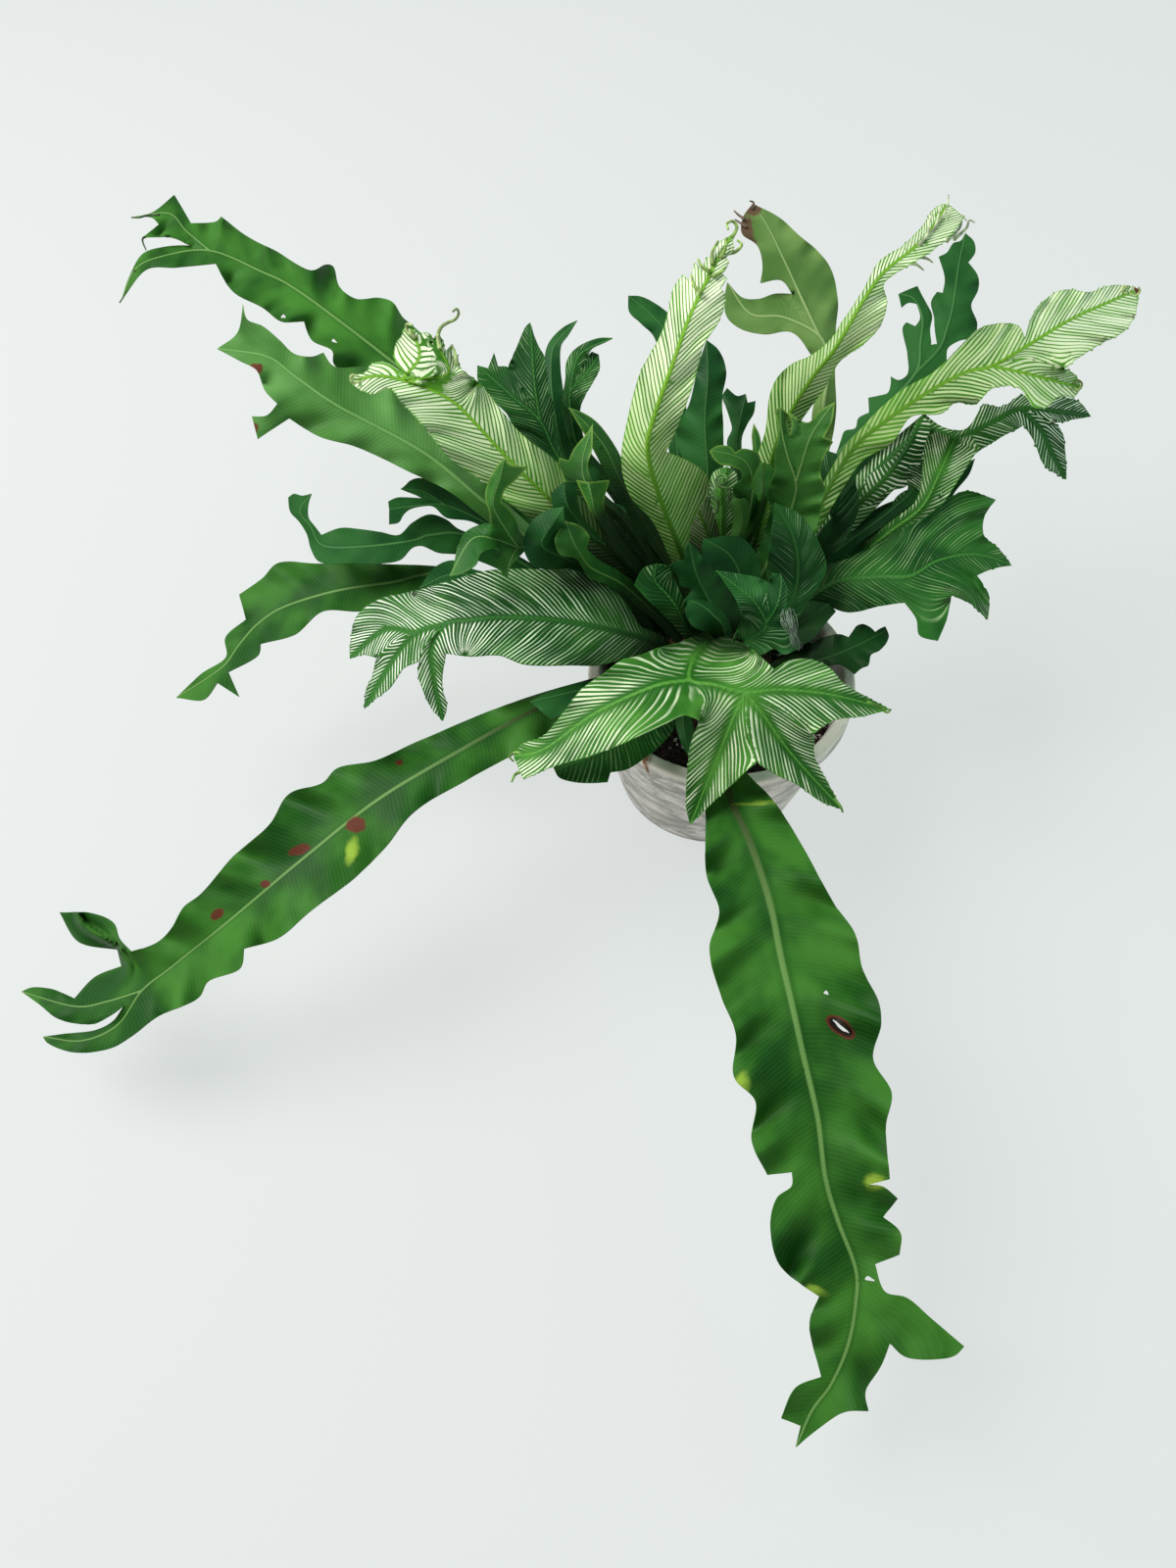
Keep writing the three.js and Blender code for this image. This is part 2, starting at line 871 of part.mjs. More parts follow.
    edges: [
      [[748, 515], [738, 485], [728, 470]],
      [[776, 512], [772, 475], [745, 457]],
    ],
  },
  {
    name: 'leaf_dark_fan_right',
    tint: 'dark',
    root: { turn: 43, ring: 3 },
    ribs: [
      {
        points: [
          [785, 602, 112], [825, 560, 136], [848, 525, 151], [858, 495, 159], [862, 464, 164],
        ],
      },
    ],
    edges: [
      [[828, 530], [838, 495], [846, 470]],
      [[860, 550], [876, 515], [876, 485]],
    ],
  },
  {
    name: 'leaf_rolled_striped',
    tint: 'striped',
    root: { turn: 108, ring: 1 },
    ribs: [
      {
        points: [
          [728, 612, 120], [734, 560, 138], [736, 525, 158], [735, 500, 170], [742, 476, 178],
        ],
      },
    ],
    edges: [
      [[727, 530], [723, 505], [728, 482]],
      [[748, 530], [751, 505], [752, 484]],
    ],
  },
  {
    name: 'leaf_dark_lobed_middle',
    tint: 'dark',
    root: { turn: 0, ring: 0 },
    ribs: [
      {
        points: [
          [737, 641, 117], [733, 628, 130], [722, 606, 143], [712, 582, 156], [703, 553, 170],
        ],
      },
    ],
    edges: [
      [
        [732, 642], [717, 635, 9], [702, 626, 10], [700, 608, 8], [690, 592, 6], [682, 577],
        [696, 571],
      ],
      [[750, 628], [745, 608], [733, 590], [722, 570]],
    ],
  },
  {
    name: 'leaf_dark_round_middle',
    tint: 'plain',
    root: { turn: 60, ring: 1 },
    ribs: [
      { points: [[750, 620, 120], [756, 592, 138], [744, 566, 151], [718, 550, 157]] },
    ],
    edges: [
      [[738, 600], [724, 580], [716, 564]],
      [[776, 600], [774, 570], [755, 548]],
    ],
  },
  {
    name: 'leaf_oval_middle',
    tint: 'plain',
    root: { turn: 3, ring: 2 },
    ribs: [
      {
        points: [
          [786, 642, 114], [804, 624, 128], [814, 588, 150], [810, 550, 172], [791, 513, 190],
        ],
      },
    ],
    edges: [
      [[790, 612], [783, 585], [787, 545]],
      [[822, 618], [843, 582], [835, 552], [815, 524]],
    ],
  },
  {
    name: 'leaf_striped_crest_middle',
    tint: 'striped',
    root: { turn: -55, ring: 0 },
    ribs: [
      {
        points: [
          [752, 656, 128], [770, 640, 150], [786, 622, 162], [795, 604, 172], [798, 584, 178],
        ],
      },
    ],
    edges: [
      [[748, 640], [753, 625], [742, 604], [727, 581], [753, 586], [778, 588]],
      [[764, 664], [782, 668], [796, 660], [814, 668], [822, 648], [812, 618], [808, 592]],
    ],
  },
  {
    name: 'leaf_small_wavy_right',
    tint: 'dark',
    root: { turn: -20, ring: 4 },
    ribs: [
      {
        points: [
          [797, 682, 98], [815, 680, 106], [845, 674, 115], [876, 659, 115], [905, 643, 113],
        ],
      },
    ],
    edges: [
      [[830, 662], [849, 649], [865, 648], [878, 638], [895, 641]],
      [[830, 690], [850, 692], [871, 688], [888, 671], [902, 658]],
    ],
  },
  {
    name: 'leaf_dark_front_left',
    tint: 'dark',
    root: { turn: 226, ring: 4 },
    ribs: [
      { points: [[668, 722, 104], [645, 743, 122], [612, 770, 130], [566, 791, 128]] },
    ],
    edges: [
      [[684, 749], [665, 770], [646, 783], [622, 798], [590, 798]],
      [[640, 728], [600, 752], [575, 775]],
    ],
  },
  {
    name: 'leaf_dark_low_left',
    tint: 'dark',
    root: { turn: 206, ring: 3 },
    ribs: [
      { points: [[665, 690, 112], [625, 698, 126], [585, 706, 136], [541, 716, 138]] },
    ],
    edges: [
      [[590, 722], [562, 734]],
      [[590, 697], [560, 706]],
    ],
  },
  {
    name: 'leaf_spear_front',
    tint: 'dark',
    root: { turn: -118, ring: 3 },
    ribs: [
      { points: [[698, 716, 104], [697, 738, 114], [703, 772, 112]] },
    ],
    edges: [
      [[706, 735], [709, 758]],
      [[689, 735], [695, 758]],
    ],
  },
];

/** How far along a line each of its points lies, from 0 to 1. */
function shares(line) {
  const run = [0];
  for (let i = 1; i < line.length; i += 1) {
    run.push(run[i - 1] + line[i].distanceTo(line[i - 1]));
  }
  return run.map((length) => length / run[run.length - 1]);
}

/** The point of a line at a share of its length. */
function pointAt(line, marks, share) {
  let i = 1;
  while (i < line.length - 1 && marks[i] < share) i += 1;
  const part = THREE.MathUtils.clamp((share - marks[i - 1]) / (marks[i] - marks[i - 1] || 1), 0, 1);
  return line[i - 1].clone().lerp(line[i], part);
}

/** The share of a rib nearest to a place, and how far off it lies, in the picture. */
function nearest(rib, marks, place) {
  let best = { share: 0, off: Infinity };
  for (let i = 1; i < rib.length; i += 1) {
    const start = new THREE.Vector2(rib[i - 1].x, rib[i - 1].y);
    const along = new THREE.Vector2(rib[i].x, rib[i].y).sub(start);
    const to = new THREE.Vector2(place.x, place.y).sub(start);
    const part = THREE.MathUtils.clamp(to.dot(along) / (along.lengthSq() || 1), 0, 1);
    const off = to.addScaledVector(along, -part).length();
    if (off < best.off) best = { share: marks[i - 1] + part * (marks[i] - marks[i - 1]), off };
  }
  return best;
}

/** A smooth line through a rib's set points, and which of its points those are. */
function smoothRib(points) {
  const curve = new THREE.CatmullRomCurve3(points, false, 'catmullrom', 0.5);
  const line = [points[0]];
  const stops = [0];
  for (let i = 1; i < points.length; i += 1) {
    const cuts = Math.max(1, Math.round(points[i].distanceTo(points[i - 1]) / RIB_SPACING));
    for (let cut = 1; cut <= cuts; cut += 1) {
      line.push(curve.getPoint((i - 1 + cut / cuts) / (points.length - 1)));
    }
    stops.push(line.length - 1);
  }
  return { line, stops };
}

/** The direction across a line at one of its points in the picture, to the left for side 1. */
function acrossLine(line, i, side) {
  const course = line[Math.min(i + 1, line.length - 1)].clone().sub(line[Math.max(i - 1, 0)]);
  return new THREE.Vector3(course.y, -course.x, 0).normalize().multiplyScalar(side);
}

/** Points beside a rib that widen from its foot towards the first point of its edge. */
function stalkSide(rib, marks, first, side) {
  const reach = nearest(rib, marks, first);
  const points = [];
  for (let i = 1; i < rib.length - 1 && marks[i] < reach.share * STALK_SHARE; i += 1) {
    const width = THREE.MathUtils.lerp(STALK_PICTURE_WIDTH, reach.off, marks[i] / reach.share);
    points.push(rib[i].clone().setZ(0).addScaledVector(acrossLine(rib, i, side), width));
  }
  return points;
}

/** How far along its rib each point of an edge belongs, leaning forward as the veins do. */
function matchEdge(rib, marks, edge) {
  const even = shares(edge);
  const span = rib.slice(1).reduce((sum, point, i) => sum + point.distanceTo(rib[i]), 0);
  let last = 0;
  return edge.map((place, i) => {
    const { share, off } = nearest(rib, marks, place);
    last = Math.max(last, THREE.MathUtils.clamp(share - (VEIN_LEAN * off) / span, 0, 1));
    if (i === 0) return 0;
    if (i === edge.length - 1) return 1;
    return THREE.MathUtils.lerp(last, even[i], EVEN_SHARE);
  });
}

/** Swaps the diagonals of flat triangles, seen in the picture, towards even angles in space. */
function evenOut(flat, solid, triangles) {
  const area = (a, b, c) => THREE.ShapeUtils.area([flat[a], flat[b], flat[c]]);
  const reach = (from, to) => solid[to].clone().sub(solid[from]);
  const angle = (at, from, to) => reach(at, from).angleTo(reach(at, to));
  const way = Math.sign(triangles.reduce((sum, [a, b, c]) => sum + area(a, b, c), 0));
  let swapped = true;
  for (let pass = 0; swapped && pass < SWAP_PASSES; pass += 1) {
    swapped = false;
    const sides = new Map();
    const moved = new Set();
    triangles.forEach((triangle, t) => {
      for (let k = 0; k < 3; k += 1) {
        const [a, b, c] = [triangle[k], triangle[(k + 1) % 3], triangle[(k + 2) % 3]];
        sides.set(`${a},${b}`, [t, c]);
      }
    });
    for (const [key, [t, c]] of sides) {
      const [a, b] = key.split(',').map(Number);
      const [u, d] = sides.get(`${b},${a}`) ?? [];
      if (u === undefined || moved.has(t) || moved.has(u)) continue;
      if (angle(c, a, b) + angle(d, a, b) < Math.PI + SWAP_MARGIN) continue;
      if (area(a, d, c) * way < 1 || area(d, b, c) * way < 1) continue;
      triangles[t] = [a, d, c];
      triangles[u] = [d, b, c];
      moved.add(t).add(u);
      swapped = true;
    }
  }
}

/** The middle surface of a frond: its points, half thicknesses and triangles. */
function frondSurface({ root, ribs, edges }) {
  const points = [];
  const halves = [];
  const faces = [];
  const turn = THREE.MathUtils.degToRad(root.turn);
  const foot = new THREE.Vector3(CROWN_CENTRE.x, CROWN_CENTRE.y, TERRACES[root.ring].top + GAP)
    .addScaledVector(new THREE.Vector3(Math.cos(turn), Math.sin(turn), 0), ROOT_RINGS[root.ring]);

  const addPoint = (point, half) => {
    points.push(point);
    halves.push(half);
    return points.length - 1;
  };
  const place = ([across, down, lift = 0]) => new THREE.Vector3(across, down, lift);

  // Each rib keeps its picture line, the surface points on it and the places of its set points
  const chains = [];
  for (const { from, points: set } of ribs) {
    const trunk = chains[chains.length - 1];
    const start = trunk ? trunk.stops[from] : 0;
    const origin = trunk ? trunk.line[start] : plot(foot);
    const { line, stops } = smoothRib([origin, ...set.map(place)]);
    const thickness = trunk ? FORK_RIB_THICKNESS : RIB_THICKNESS;
    const ids = line.map((spot, i) => {
      if (trunk && i === 0) return trunk.ids[start];
      const thick = THREE.MathUtils.lerp(thickness, TIP_RIB_THICKNESS, i / (line.length - 1));
      return addPoint(sight(spot.x, spot.y, spot.z), thick / 2);
    });
    const before = trunk ?? { line: [], ids: [], stops: [] };
    chains.push({
      start,
      line: [...before.line.slice(0, start), ...line],
      ids: [...before.ids.slice(0, start), ...ids],
      stops: [...before.stops.slice(0, from + 1 || 0), ...stops.slice(1).map((stop) => stop + start)],
    });
  }

  /** Half the thickness of the blade at a point, which grows to the stalk's near the crown. */
  const bladeHalf = (point) => {
    const nearCrown = 1 - Math.min(1, point.distanceTo(foot) / STALK_LENGTH);
    return THREE.MathUtils.lerp(BLADE, STALK_EDGE_THICKNESS, nearCrown ** 2) / 2;
  };

  /** Fills one side of a rib out to its edge, whose surface points are given or made here. */
  const fillSide = (chain, start, side, edge, edgeIds) => {
    const line = chain.line.slice(start);
    const ids = chain.ids.slice(start);
    const marks = shares(line);
    const match = matchEdge(line, marks, edge);
    const edgeMarks = shares(edge);
    const tip = line.length - 1;
    const outer = edge.map((spot, i) => {
      if (i === edge.length - 1) return ids[tip];
      if (edgeIds[i] !== undefined) return edgeIds[i];
      const point = sight(spot.x, spot.y, pointAt(line, marks, match[i]).z + spot.z);
      return addPoint(point, bladeHalf(point));
    });
    const beside = line.map((spot, i) => {
      if (i === tip || (i === 0 && outer[0] === ids[0])) return spot;
      if (i === 0) return spot.clone().lerp(edge[0], 0.5);
      const width = Math.min(RIB_PICTURE_WIDTH, nearest(edge, edgeMarks, spot).off / 2);
      return spot.clone().addScaledVector(acrossLine(line, i, side), width);
    });
    const flank = beside.map((spot, i) => {
      if (spot === line[i]) return ids[i];
      const point = sight(spot.x, spot.y, line[i].z);
      return addPoint(point, bladeHalf(point) * FLANK_SWELL);
    });
    for (let i = 1; i <= tip; i += 1) {
      const strip = [[ids[i - 1], flank[i - 1], flank[i]], [ids[i - 1], flank[i], ids[i]]];
      for (const [a, b, c] of strip) {
        if (a !== b && b !== c && c !== a) faces.push(side > 0 ? [a, b, c] : [a, c, b]);
      }
    }
    const from = outer[0] === ids[0] ? 1 : 0;
    const ring = [...beside, ...edge.slice(from, -1).reverse()];
    const ringIds = [...flank, ...outer.slice(from, -1).reverse()];
    const flat = ring.map((spot) => new THREE.Vector2(spot.x, spot.y));
    const cuts = THREE.ShapeUtils.triangulateShape(flat, []);
    evenOut(flat, ringIds.map((id) => points[id]), cuts);
    const cutsFacing = cuts.length > 0 && THREE.ShapeUtils.area(cuts[0].map((i) => flat[i])) > 0;
    for (const cut of cuts) {
      const [a, b, c] = cut.map((i) => ringIds[i]);
      faces.push(cutsFacing ? [a, b, c] : [a, c, b]);
    }
  };

  /** Fills a side of the frond that runs from its foot to the tip of an outermost rib. */
  const fillOuter = (chain, edge, side) => {
    const { line } = chain;
    const marks = shares(line);
    const set = edge.map(place);
    const aside = line[0].clone().add(acrossLine(line, 0, side));
    const across = sight(aside.x, aside.y, foot.z).sub(foot).setLength(STALK_HALF_WIDTH);
    const corner = foot.clone().add(across);
    const tip = line[line.length - 1].clone().setZ(0);
    const whole = [plot(corner).setZ(0), ...stalkSide(line, marks, set[0], side), ...set, tip];
    fillSide(chain, 0, side, whole, [addPoint(corner, STALK_THICKNESS / 2)]);
  };

  fillOuter(chains[0], edges[0], 1);
  for (let i = 1; i < chains.length; i += 1) {
    const { start } = chains[i];
    const share = [chains[i - 1], chains[i]];
    const seam = edges[i].fold.map(place);
    const ways = share.map(({ line }) => line.slice(start));
    const seamIds = seam.map((spot) => {
      const level = ways.map((way) => {
        const marks = shares(way);
        return pointAt(way, marks, nearest(way, marks, spot).share).z;
      });
      return addPoint(sight(spot.x, spot.y, (level[0] + level[1]) / 2 + spot.z), BLADE / 2);
    });
    [edges[i].left, edges[i].right].forEach((side, k) => {
      const origin = ways[k][0].clone().setZ(0);
      const tip = ways[k][ways[k].length - 1].clone().setZ(0);
      const whole = [origin, ...seam, ...side.map(place), tip];
      fillSide(share[k], start, k === 0 ? -1 : 1, whole, [share[k].ids[start], ...seamIds]);
    });
  }
  fillOuter(chains[chains.length - 1], edges[edges.length - 1], -1);
  return { points, halves, faces, foot };
}

/** A closed thin solid on both sides of a surface, alike on its two faces. */
function thicken({ points, halves, faces, foot }) {
  const normals = points.map(() => new THREE.Vector3());
  for (const [a, b, c] of faces) {
    const ab = points[b].clone().sub(points[a]);
    const ac = points[c].clone().sub(points[a]);
    const normal = ab.cross(ac);
    normals[a].add(normal);
    normals[b].add(normal);
    normals[c].add(normal);
  }
  points.forEach((point, i) => {
    if (Math.abs(point.z - foot.z) < 0.01) normals[i].z = 0;
    normals[i].normalize();
  });
  const count = points.length;
  const upper = points.map((point, i) => point.clone().addScaledVector(normals[i], halves[i]));
  const lower = points.map((point, i) => point.clone().addScaledVector(normals[i], -halves[i]));
  const index = [];
  const sides = new Map();
  for (const [a, b, c] of faces) {
    index.push(a, b, c, a + count, c + count, b + count);
    for (const [from, to] of [[a, b], [b, c], [c, a]]) {
      const back = `${to},${from}`;
      if (sides.has(back)) sides.delete(back);
      else sides.set(`${from},${to}`, [from, to]);
    }
  }
  for (const [from, to] of sides.values()) {
    index.push(from, to + count, to, from, from + count, to + count);
  }
  const geometry = new THREE.BufferGeometry();
  const flat = [...upper, ...lower].flatMap((point) => point.toArray());
  geometry.setAttribute('position', new THREE.Float32BufferAttribute(flat, 3));
  geometry.setIndex(index);
  return geometry;
}

/** A manifold solid made from a closed geometry. */
function toSolid(geometry) {
  const bare = geometry.clone();
  bare.deleteAttribute('normal');
  bare.deleteAttribute('uv');
  const merged = mergeVertices(bare, 1e-4);
  return new wasm.Manifold(new wasm.Mesh({
    numProp: 3,
    vertProperties: Float32Array.from(merged.attributes.position.array),
    triVerts: Uint32Array.from(merged.index.array),
  }));
}

/** The geometry of a manifold solid. */
function toGeometry(solid) {
  const { vertProperties, triVerts } = solid.getMesh();
  const geometry = new THREE.BufferGeometry();
  geometry.setAttribute('position', new THREE.BufferAttribute(vertProperties, 3));
  geometry.setIndex(new THREE.BufferAttribute(triVerts, 1));
  return geometry;
}

/** A round solid about the Z axis from a closed profile of radius and height. */
function turned(profile, sides) {
  const outline = profile.map(([radius, height]) => new THREE.Vector2(radius, height));
  const geometry = new THREE.LatheGeometry(outline, sides);
  geometry.rotateX(Math.PI / 2);
  return geometry;
}

/** The radius of the pot's outside below its rim band at a height. */
function potRadius(height) {
  return THREE.MathUtils.lerp(BASE_RADIUS, RIM_RADIUS - RIM_STEP, height / (POT_HEIGHT - RIM_BAND));
}

const group = new THREE.Group();

/** Adds a named piece with its finish. */
function addPiece(name, geometry, finish) {
  const mesh = new THREE.Mesh(geometry, new THREE.MeshStandardMaterial({ ...finish, metalness: 0 }));
  mesh.name = name;
  group.add(mesh);
}

// Pot: a tapered wall with a low rim band, a floor with drain holes and a chamfered foot
const innerFloor = potRadius(FLOOR) - WALL;
const innerTop = RIM_RADIUS - WALL;
const roundTop = POT_HEIGHT - RIM_ROUND;
let pot = toSolid(turned([
  [0, 0], [BASE_RADIUS - FOOT_CHAMFER, 0], [BASE_RADIUS, FOOT_CHAMFER],
  [RIM_RADIUS - RIM_STEP, POT_HEIGHT - RIM_BAND], [RIM_RADIUS, POT_HEIGHT - RIM_BAND + RIM_STEP],
  [RIM_RADIUS, roundTop], [RIM_RADIUS - RIM_ROUND, POT_HEIGHT], [innerTop + RIM_ROUND, POT_HEIGHT],
  [innerTop, roundTop], [innerFloor, FLOOR], [0, FLOOR],
], POT_SIDES));
for (let hole = 0; hole < DRAIN_HOLES; hole += 1) {
  const turn = ((hole + 0.5) / DRAIN_HOLES) * 2 * Math.PI;
  const drill = new THREE.CylinderGeometry(DRAIN_RADIUS, DRAIN_RADIUS, FLOOR * 3, DRAIN_SIDES);
  drill.rotateX(Math.PI / 2);
  drill.translate(DRAIN_RING * Math.cos(turn), DRAIN_RING * Math.sin(turn), 0);
  pot = pot.subtract(toSolid(drill));
}
addPiece('pot', toGeometry(pot), CEMENT);

// Crown: the short upright stem, stepped where the bases of the fronds ring it
const crownProfile = [
  [0, CROWN_FOOT], [CROWN_FOOT_RADIUS, CROWN_FOOT], [CROWN_RADIUS, CROWN_SHOULDER],
];
for (let step = TERRACES.length - 1; step >= 0; step -= 1) {
  const { radius, top } = TERRACES[step];
  crownProfile.push([radius, top]);
  if (step > 0) crownProfile.push([TERRACES[step - 1].radius + TERRACE_SLOPE, top]);
}
crownProfile.push([0, TERRACES[0].top]);
const crown = turned(crownProfile, CROWN_SIDES);
crown.translate(CROWN_CENTRE.x, CROWN_CENTRE.y, 0);
addPiece('crown', toGeometry(toSolid(crown)), STEM);

// Potting mix: fills the pot up to just under the rim, with a hole for the crown
const mixFloor = FLOOR + GAP;
const mixRadius = (height) => {
  const rise = (height - FLOOR) / (roundTop - FLOOR);
  return THREE.MathUtils.lerp(innerFloor, innerTop, rise) - MIX_CLEARANCE;
};
let mix = toSolid(turned([
  [0, mixFloor], [mixRadius(mixFloor), mixFloor], [mixRadius(MIX_TOP), MIX_TOP - MIX_EDGE_DROP],
  [mixRadius(MIX_TOP) - MIX_ROUND, MIX_TOP], [0, MIX_TOP],
], MIX_SIDES));
const socketProfile = [
  [0, CROWN_FOOT - GAP], [CROWN_FOOT_RADIUS + GAP, CROWN_FOOT - GAP],
  [CROWN_RADIUS + GAP, CROWN_SHOULDER - GAP], [CROWN_RADIUS + GAP, POT_HEIGHT], [0, POT_HEIGHT],
];
const socket = turned(socketProfile, CROWN_SIDES);
socket.translate(CROWN_CENTRE.x, CROWN_CENTRE.y, 0);
mix = mix.subtract(toSolid(socket));
addPiece('potting_mix', toGeometry(mix), SOIL);

// Fronds
for (const frond of FRONDS) {
  const finish = { color: TINTS[frond.tint], roughness: LEAF_ROUGHNESS };
  addPiece(frond.name, thicken(frondSurface(frond)), finish);
}

export default group;
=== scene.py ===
# A fern with crested, plain and striped fronds, growing in a small weathered cement pot.
# Lengths are in millimetres in the values and in metres in the finished meshes.
import math
import random

import bpy
import numpy as np
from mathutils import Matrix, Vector, noise
from mathutils.geometry import delaunay_2d_cdt


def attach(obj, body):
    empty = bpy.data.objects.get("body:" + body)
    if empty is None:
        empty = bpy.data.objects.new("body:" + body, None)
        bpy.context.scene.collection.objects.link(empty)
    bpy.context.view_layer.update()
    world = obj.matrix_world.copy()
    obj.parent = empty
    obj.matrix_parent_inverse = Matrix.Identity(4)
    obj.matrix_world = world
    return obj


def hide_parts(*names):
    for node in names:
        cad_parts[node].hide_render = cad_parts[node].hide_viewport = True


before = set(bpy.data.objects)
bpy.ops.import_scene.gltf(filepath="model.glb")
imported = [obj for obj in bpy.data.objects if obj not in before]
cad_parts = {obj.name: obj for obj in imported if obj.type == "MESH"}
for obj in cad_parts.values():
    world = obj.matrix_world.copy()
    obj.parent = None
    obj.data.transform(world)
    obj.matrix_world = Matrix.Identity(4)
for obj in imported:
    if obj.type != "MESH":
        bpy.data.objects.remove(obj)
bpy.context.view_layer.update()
scene = bpy.context.scene

# Studio: a pale seamless floor, a broad soft lamp high on the left and a fill on the right.
# The eye stands in front of the pot and looks steeply down on the crown of the fern.
MM = 0.001
EYE = np.array([-75.0, -416.0, 612.0])
EYE_PITCH = math.radians(56.6)
PICTURE_REACH = 1200
PICTURE_MIDDLE = (600, 800)
PICTURE_TALL = 1600
SENSOR = 36


def lit_surface(name, colour, roughness, glow, strength):
    """A plain material that also gives off a little light, as a sheet lit from below does."""
    made = bpy.data.materials.new(name)
    made.use_nodes = True
    shader = made.node_tree.nodes["Principled BSDF"]
    shader.inputs["Base Color"].default_value = (*colour, 1)
    shader.inputs["Roughness"].default_value = roughness
    shader.inputs["Specular IOR Level"].default_value = 0.1
    shader.inputs["Emission Color"].default_value = (*glow, 1)
    shader.inputs["Emission Strength"].default_value = strength
    return made


def lamp(name, place, aim, size, power, colour):
    """A square area lamp that points from its place to its aim."""
    light = bpy.data.lights.new(name, "AREA")
    light.size = size
    light.energy = power
    light.color = colour
    stand = bpy.data.objects.new(name, light)
    stand.location = place
    stand.rotation_euler = (Vector(aim) - Vector(place)).to_track_quat("-Z", "Y").to_euler()
    scene.collection.objects.link(stand)


floor_mesh = bpy.data.meshes.new("studio_floor")
floor_mesh.from_pydata(
    [(-4, -4, 0), (4, -4, 0), (4, 4, 0), (-4, 4, 0)],
    [],
    [(0, 1, 2, 3)],
)
floor = bpy.data.objects.new("studio_floor", floor_mesh)
floor_mesh.materials.append(
    lit_surface("pale_floor", (0.17, 0.175, 0.172), 0.7, (0.962, 1.0, 0.99), 0.63)
)
scene.collection.objects.link(floor)

lamp("key_lamp", (-1.2, 0.2, 1.6), (0, 0.05, 0.1), 1.3, 43, (1.0, 0.99, 0.97))
lamp("fill_lamp", (1.5, 0.3, 1.2), (0, 0, 0.1), 1.4, 8, (0.50, 1.0, 0.80))
sky = bpy.data.worlds.new("studio_light")
sky.use_nodes = True
sky.node_tree.nodes["Background"].inputs["Color"].default_value = (0.96, 1.0, 0.985, 1)
sky.node_tree.nodes["Background"].inputs["Strength"].default_value = 0.28
scene.world = sky
scene.view_settings.view_transform = "Standard"

eye = bpy.data.cameras.new("eye")
eye.sensor_width = SENSOR
eye.lens = SENSOR * PICTURE_REACH / PICTURE_TALL
eye.clip_start = 0.01
camera = bpy.data.objects.new("eye", eye)
camera.location = EYE * MM
camera.rotation_euler = (math.pi / 2 - EYE_PITCH, 0, 0)
scene.collection.objects.link(camera)
scene.camera = camera


# Pot: a cast cement pot with a slim rim band, streaked with grey and pale along its lip, partly from wear
# and partly as a painted highlight where the lamp lights the lip.
# It is turned from one profile, roughened a little and drilled with four drain holes.
POT_HEIGHT = 95
RIM_RADIUS = 75
RIM_BAND = 14
RIM_STEP = 2.5
BASE_RADIUS = 55
WALL = 7
POT_FLOOR = 9
POT_SIDES = 160
POT_WEAR = 0.35
LIP_WEAR = 0.5
LIP_ROUND = 2
DRAIN_RADIUS = 5
DRAIN_RING = 26
DRAIN_HOLES = 4


class Recipe:
    """The nodes of one procedural finish, added a step at a time."""

    def __init__(self, name, roughness, shine=0.5):
        self.material = bpy.data.materials.new(name)
        self.material.use_nodes = True
        self.tree = self.material.node_tree
        self.surface = self.tree.nodes["Principled BSDF"]
        self.surface.inputs["Roughness"].default_value = roughness
        self.surface.inputs["Specular IOR Level"].default_value = shine

    def join(self, value, socket):
        """Puts a value, or what a socket gives, into a socket."""
        if isinstance(value, bpy.types.NodeSocket):
            self.tree.links.new(value, socket)
        else:
            socket.default_value = value

    def add(self, kind, inputs, **settings):
        """One node, with its inputs by name or number."""
        node = self.tree.nodes.new("ShaderNode" + kind)
        for key, value in settings.items():
            setattr(node, key, value)
        for key, value in inputs.items():
            self.join(value, node.inputs[key])
        return node

    def sum(self, operation, *values):
        """A sum on numbers, such as MULTIPLY."""
        return self.add("Math", dict(enumerate(values)), operation=operation).outputs[0]

    def spread(self, value, low, high, start=0.0, end=1.0):
        """Eases from start to end while the value goes from low to high."""
        inputs = {"Value": value, "From Min": low, "From Max": high}
        inputs.update({"To Min": start, "To Max": end})
        return self.add("MapRange", inputs, interpolation_type="SMOOTHSTEP").outputs["Result"]

    def blend(self, share, first, second):
        """A colour between two, by share."""
        first = first if isinstance(first, bpy.types.NodeSocket) else (*first, 1)
        second = second if isinstance(second, bpy.types.NodeSocket) else (*second, 1)
        node = self.add("Mix", {0: share, 6: first, 7: second}, data_type="RGBA")
        return node.outputs[2]

    def cloud(self, place, scale, detail=3.0, roughness=0.5, warp=0.0):
        """A soft random pattern, from about 0.3 to 0.7."""
        inputs = {"Vector": place, "Scale": scale, "Detail": detail}
        inputs.update({"Roughness": roughness, "Distortion": warp})
        return self.add("TexNoise", inputs).outputs["Fac"]

    def kept(self, name):
        """A number that the mesh keeps at each point."""
        return self.add("Attribute", {}, attribute_name=name).outputs["Fac"]

    def place(self, stretch=(1, 1, 1), turn=(0, 0, 0)):
        """Where on the object a point is, stretched and turned."""
        where = self.add("TexCoord", {}).outputs["Object"]
        inputs = {"Vector": where, "Scale": stretch, "Rotation": turn}
        return self.add("Mapping", inputs).outputs["Vector"]

    def relief(self, height, depth):
        """Small bumps, with their depth in metres."""
        inputs = {"Height": height, "Distance": depth, "Strength": 1.0}
        self.join(self.add("Bump", inputs).outputs["Normal"], self.surface.inputs["Normal"])

    def colour(self, value):
        self.join(value, self.surface.inputs["Base Color"])

    def roughness(self, value):
        self.join(value, self.surface.inputs["Roughness"])


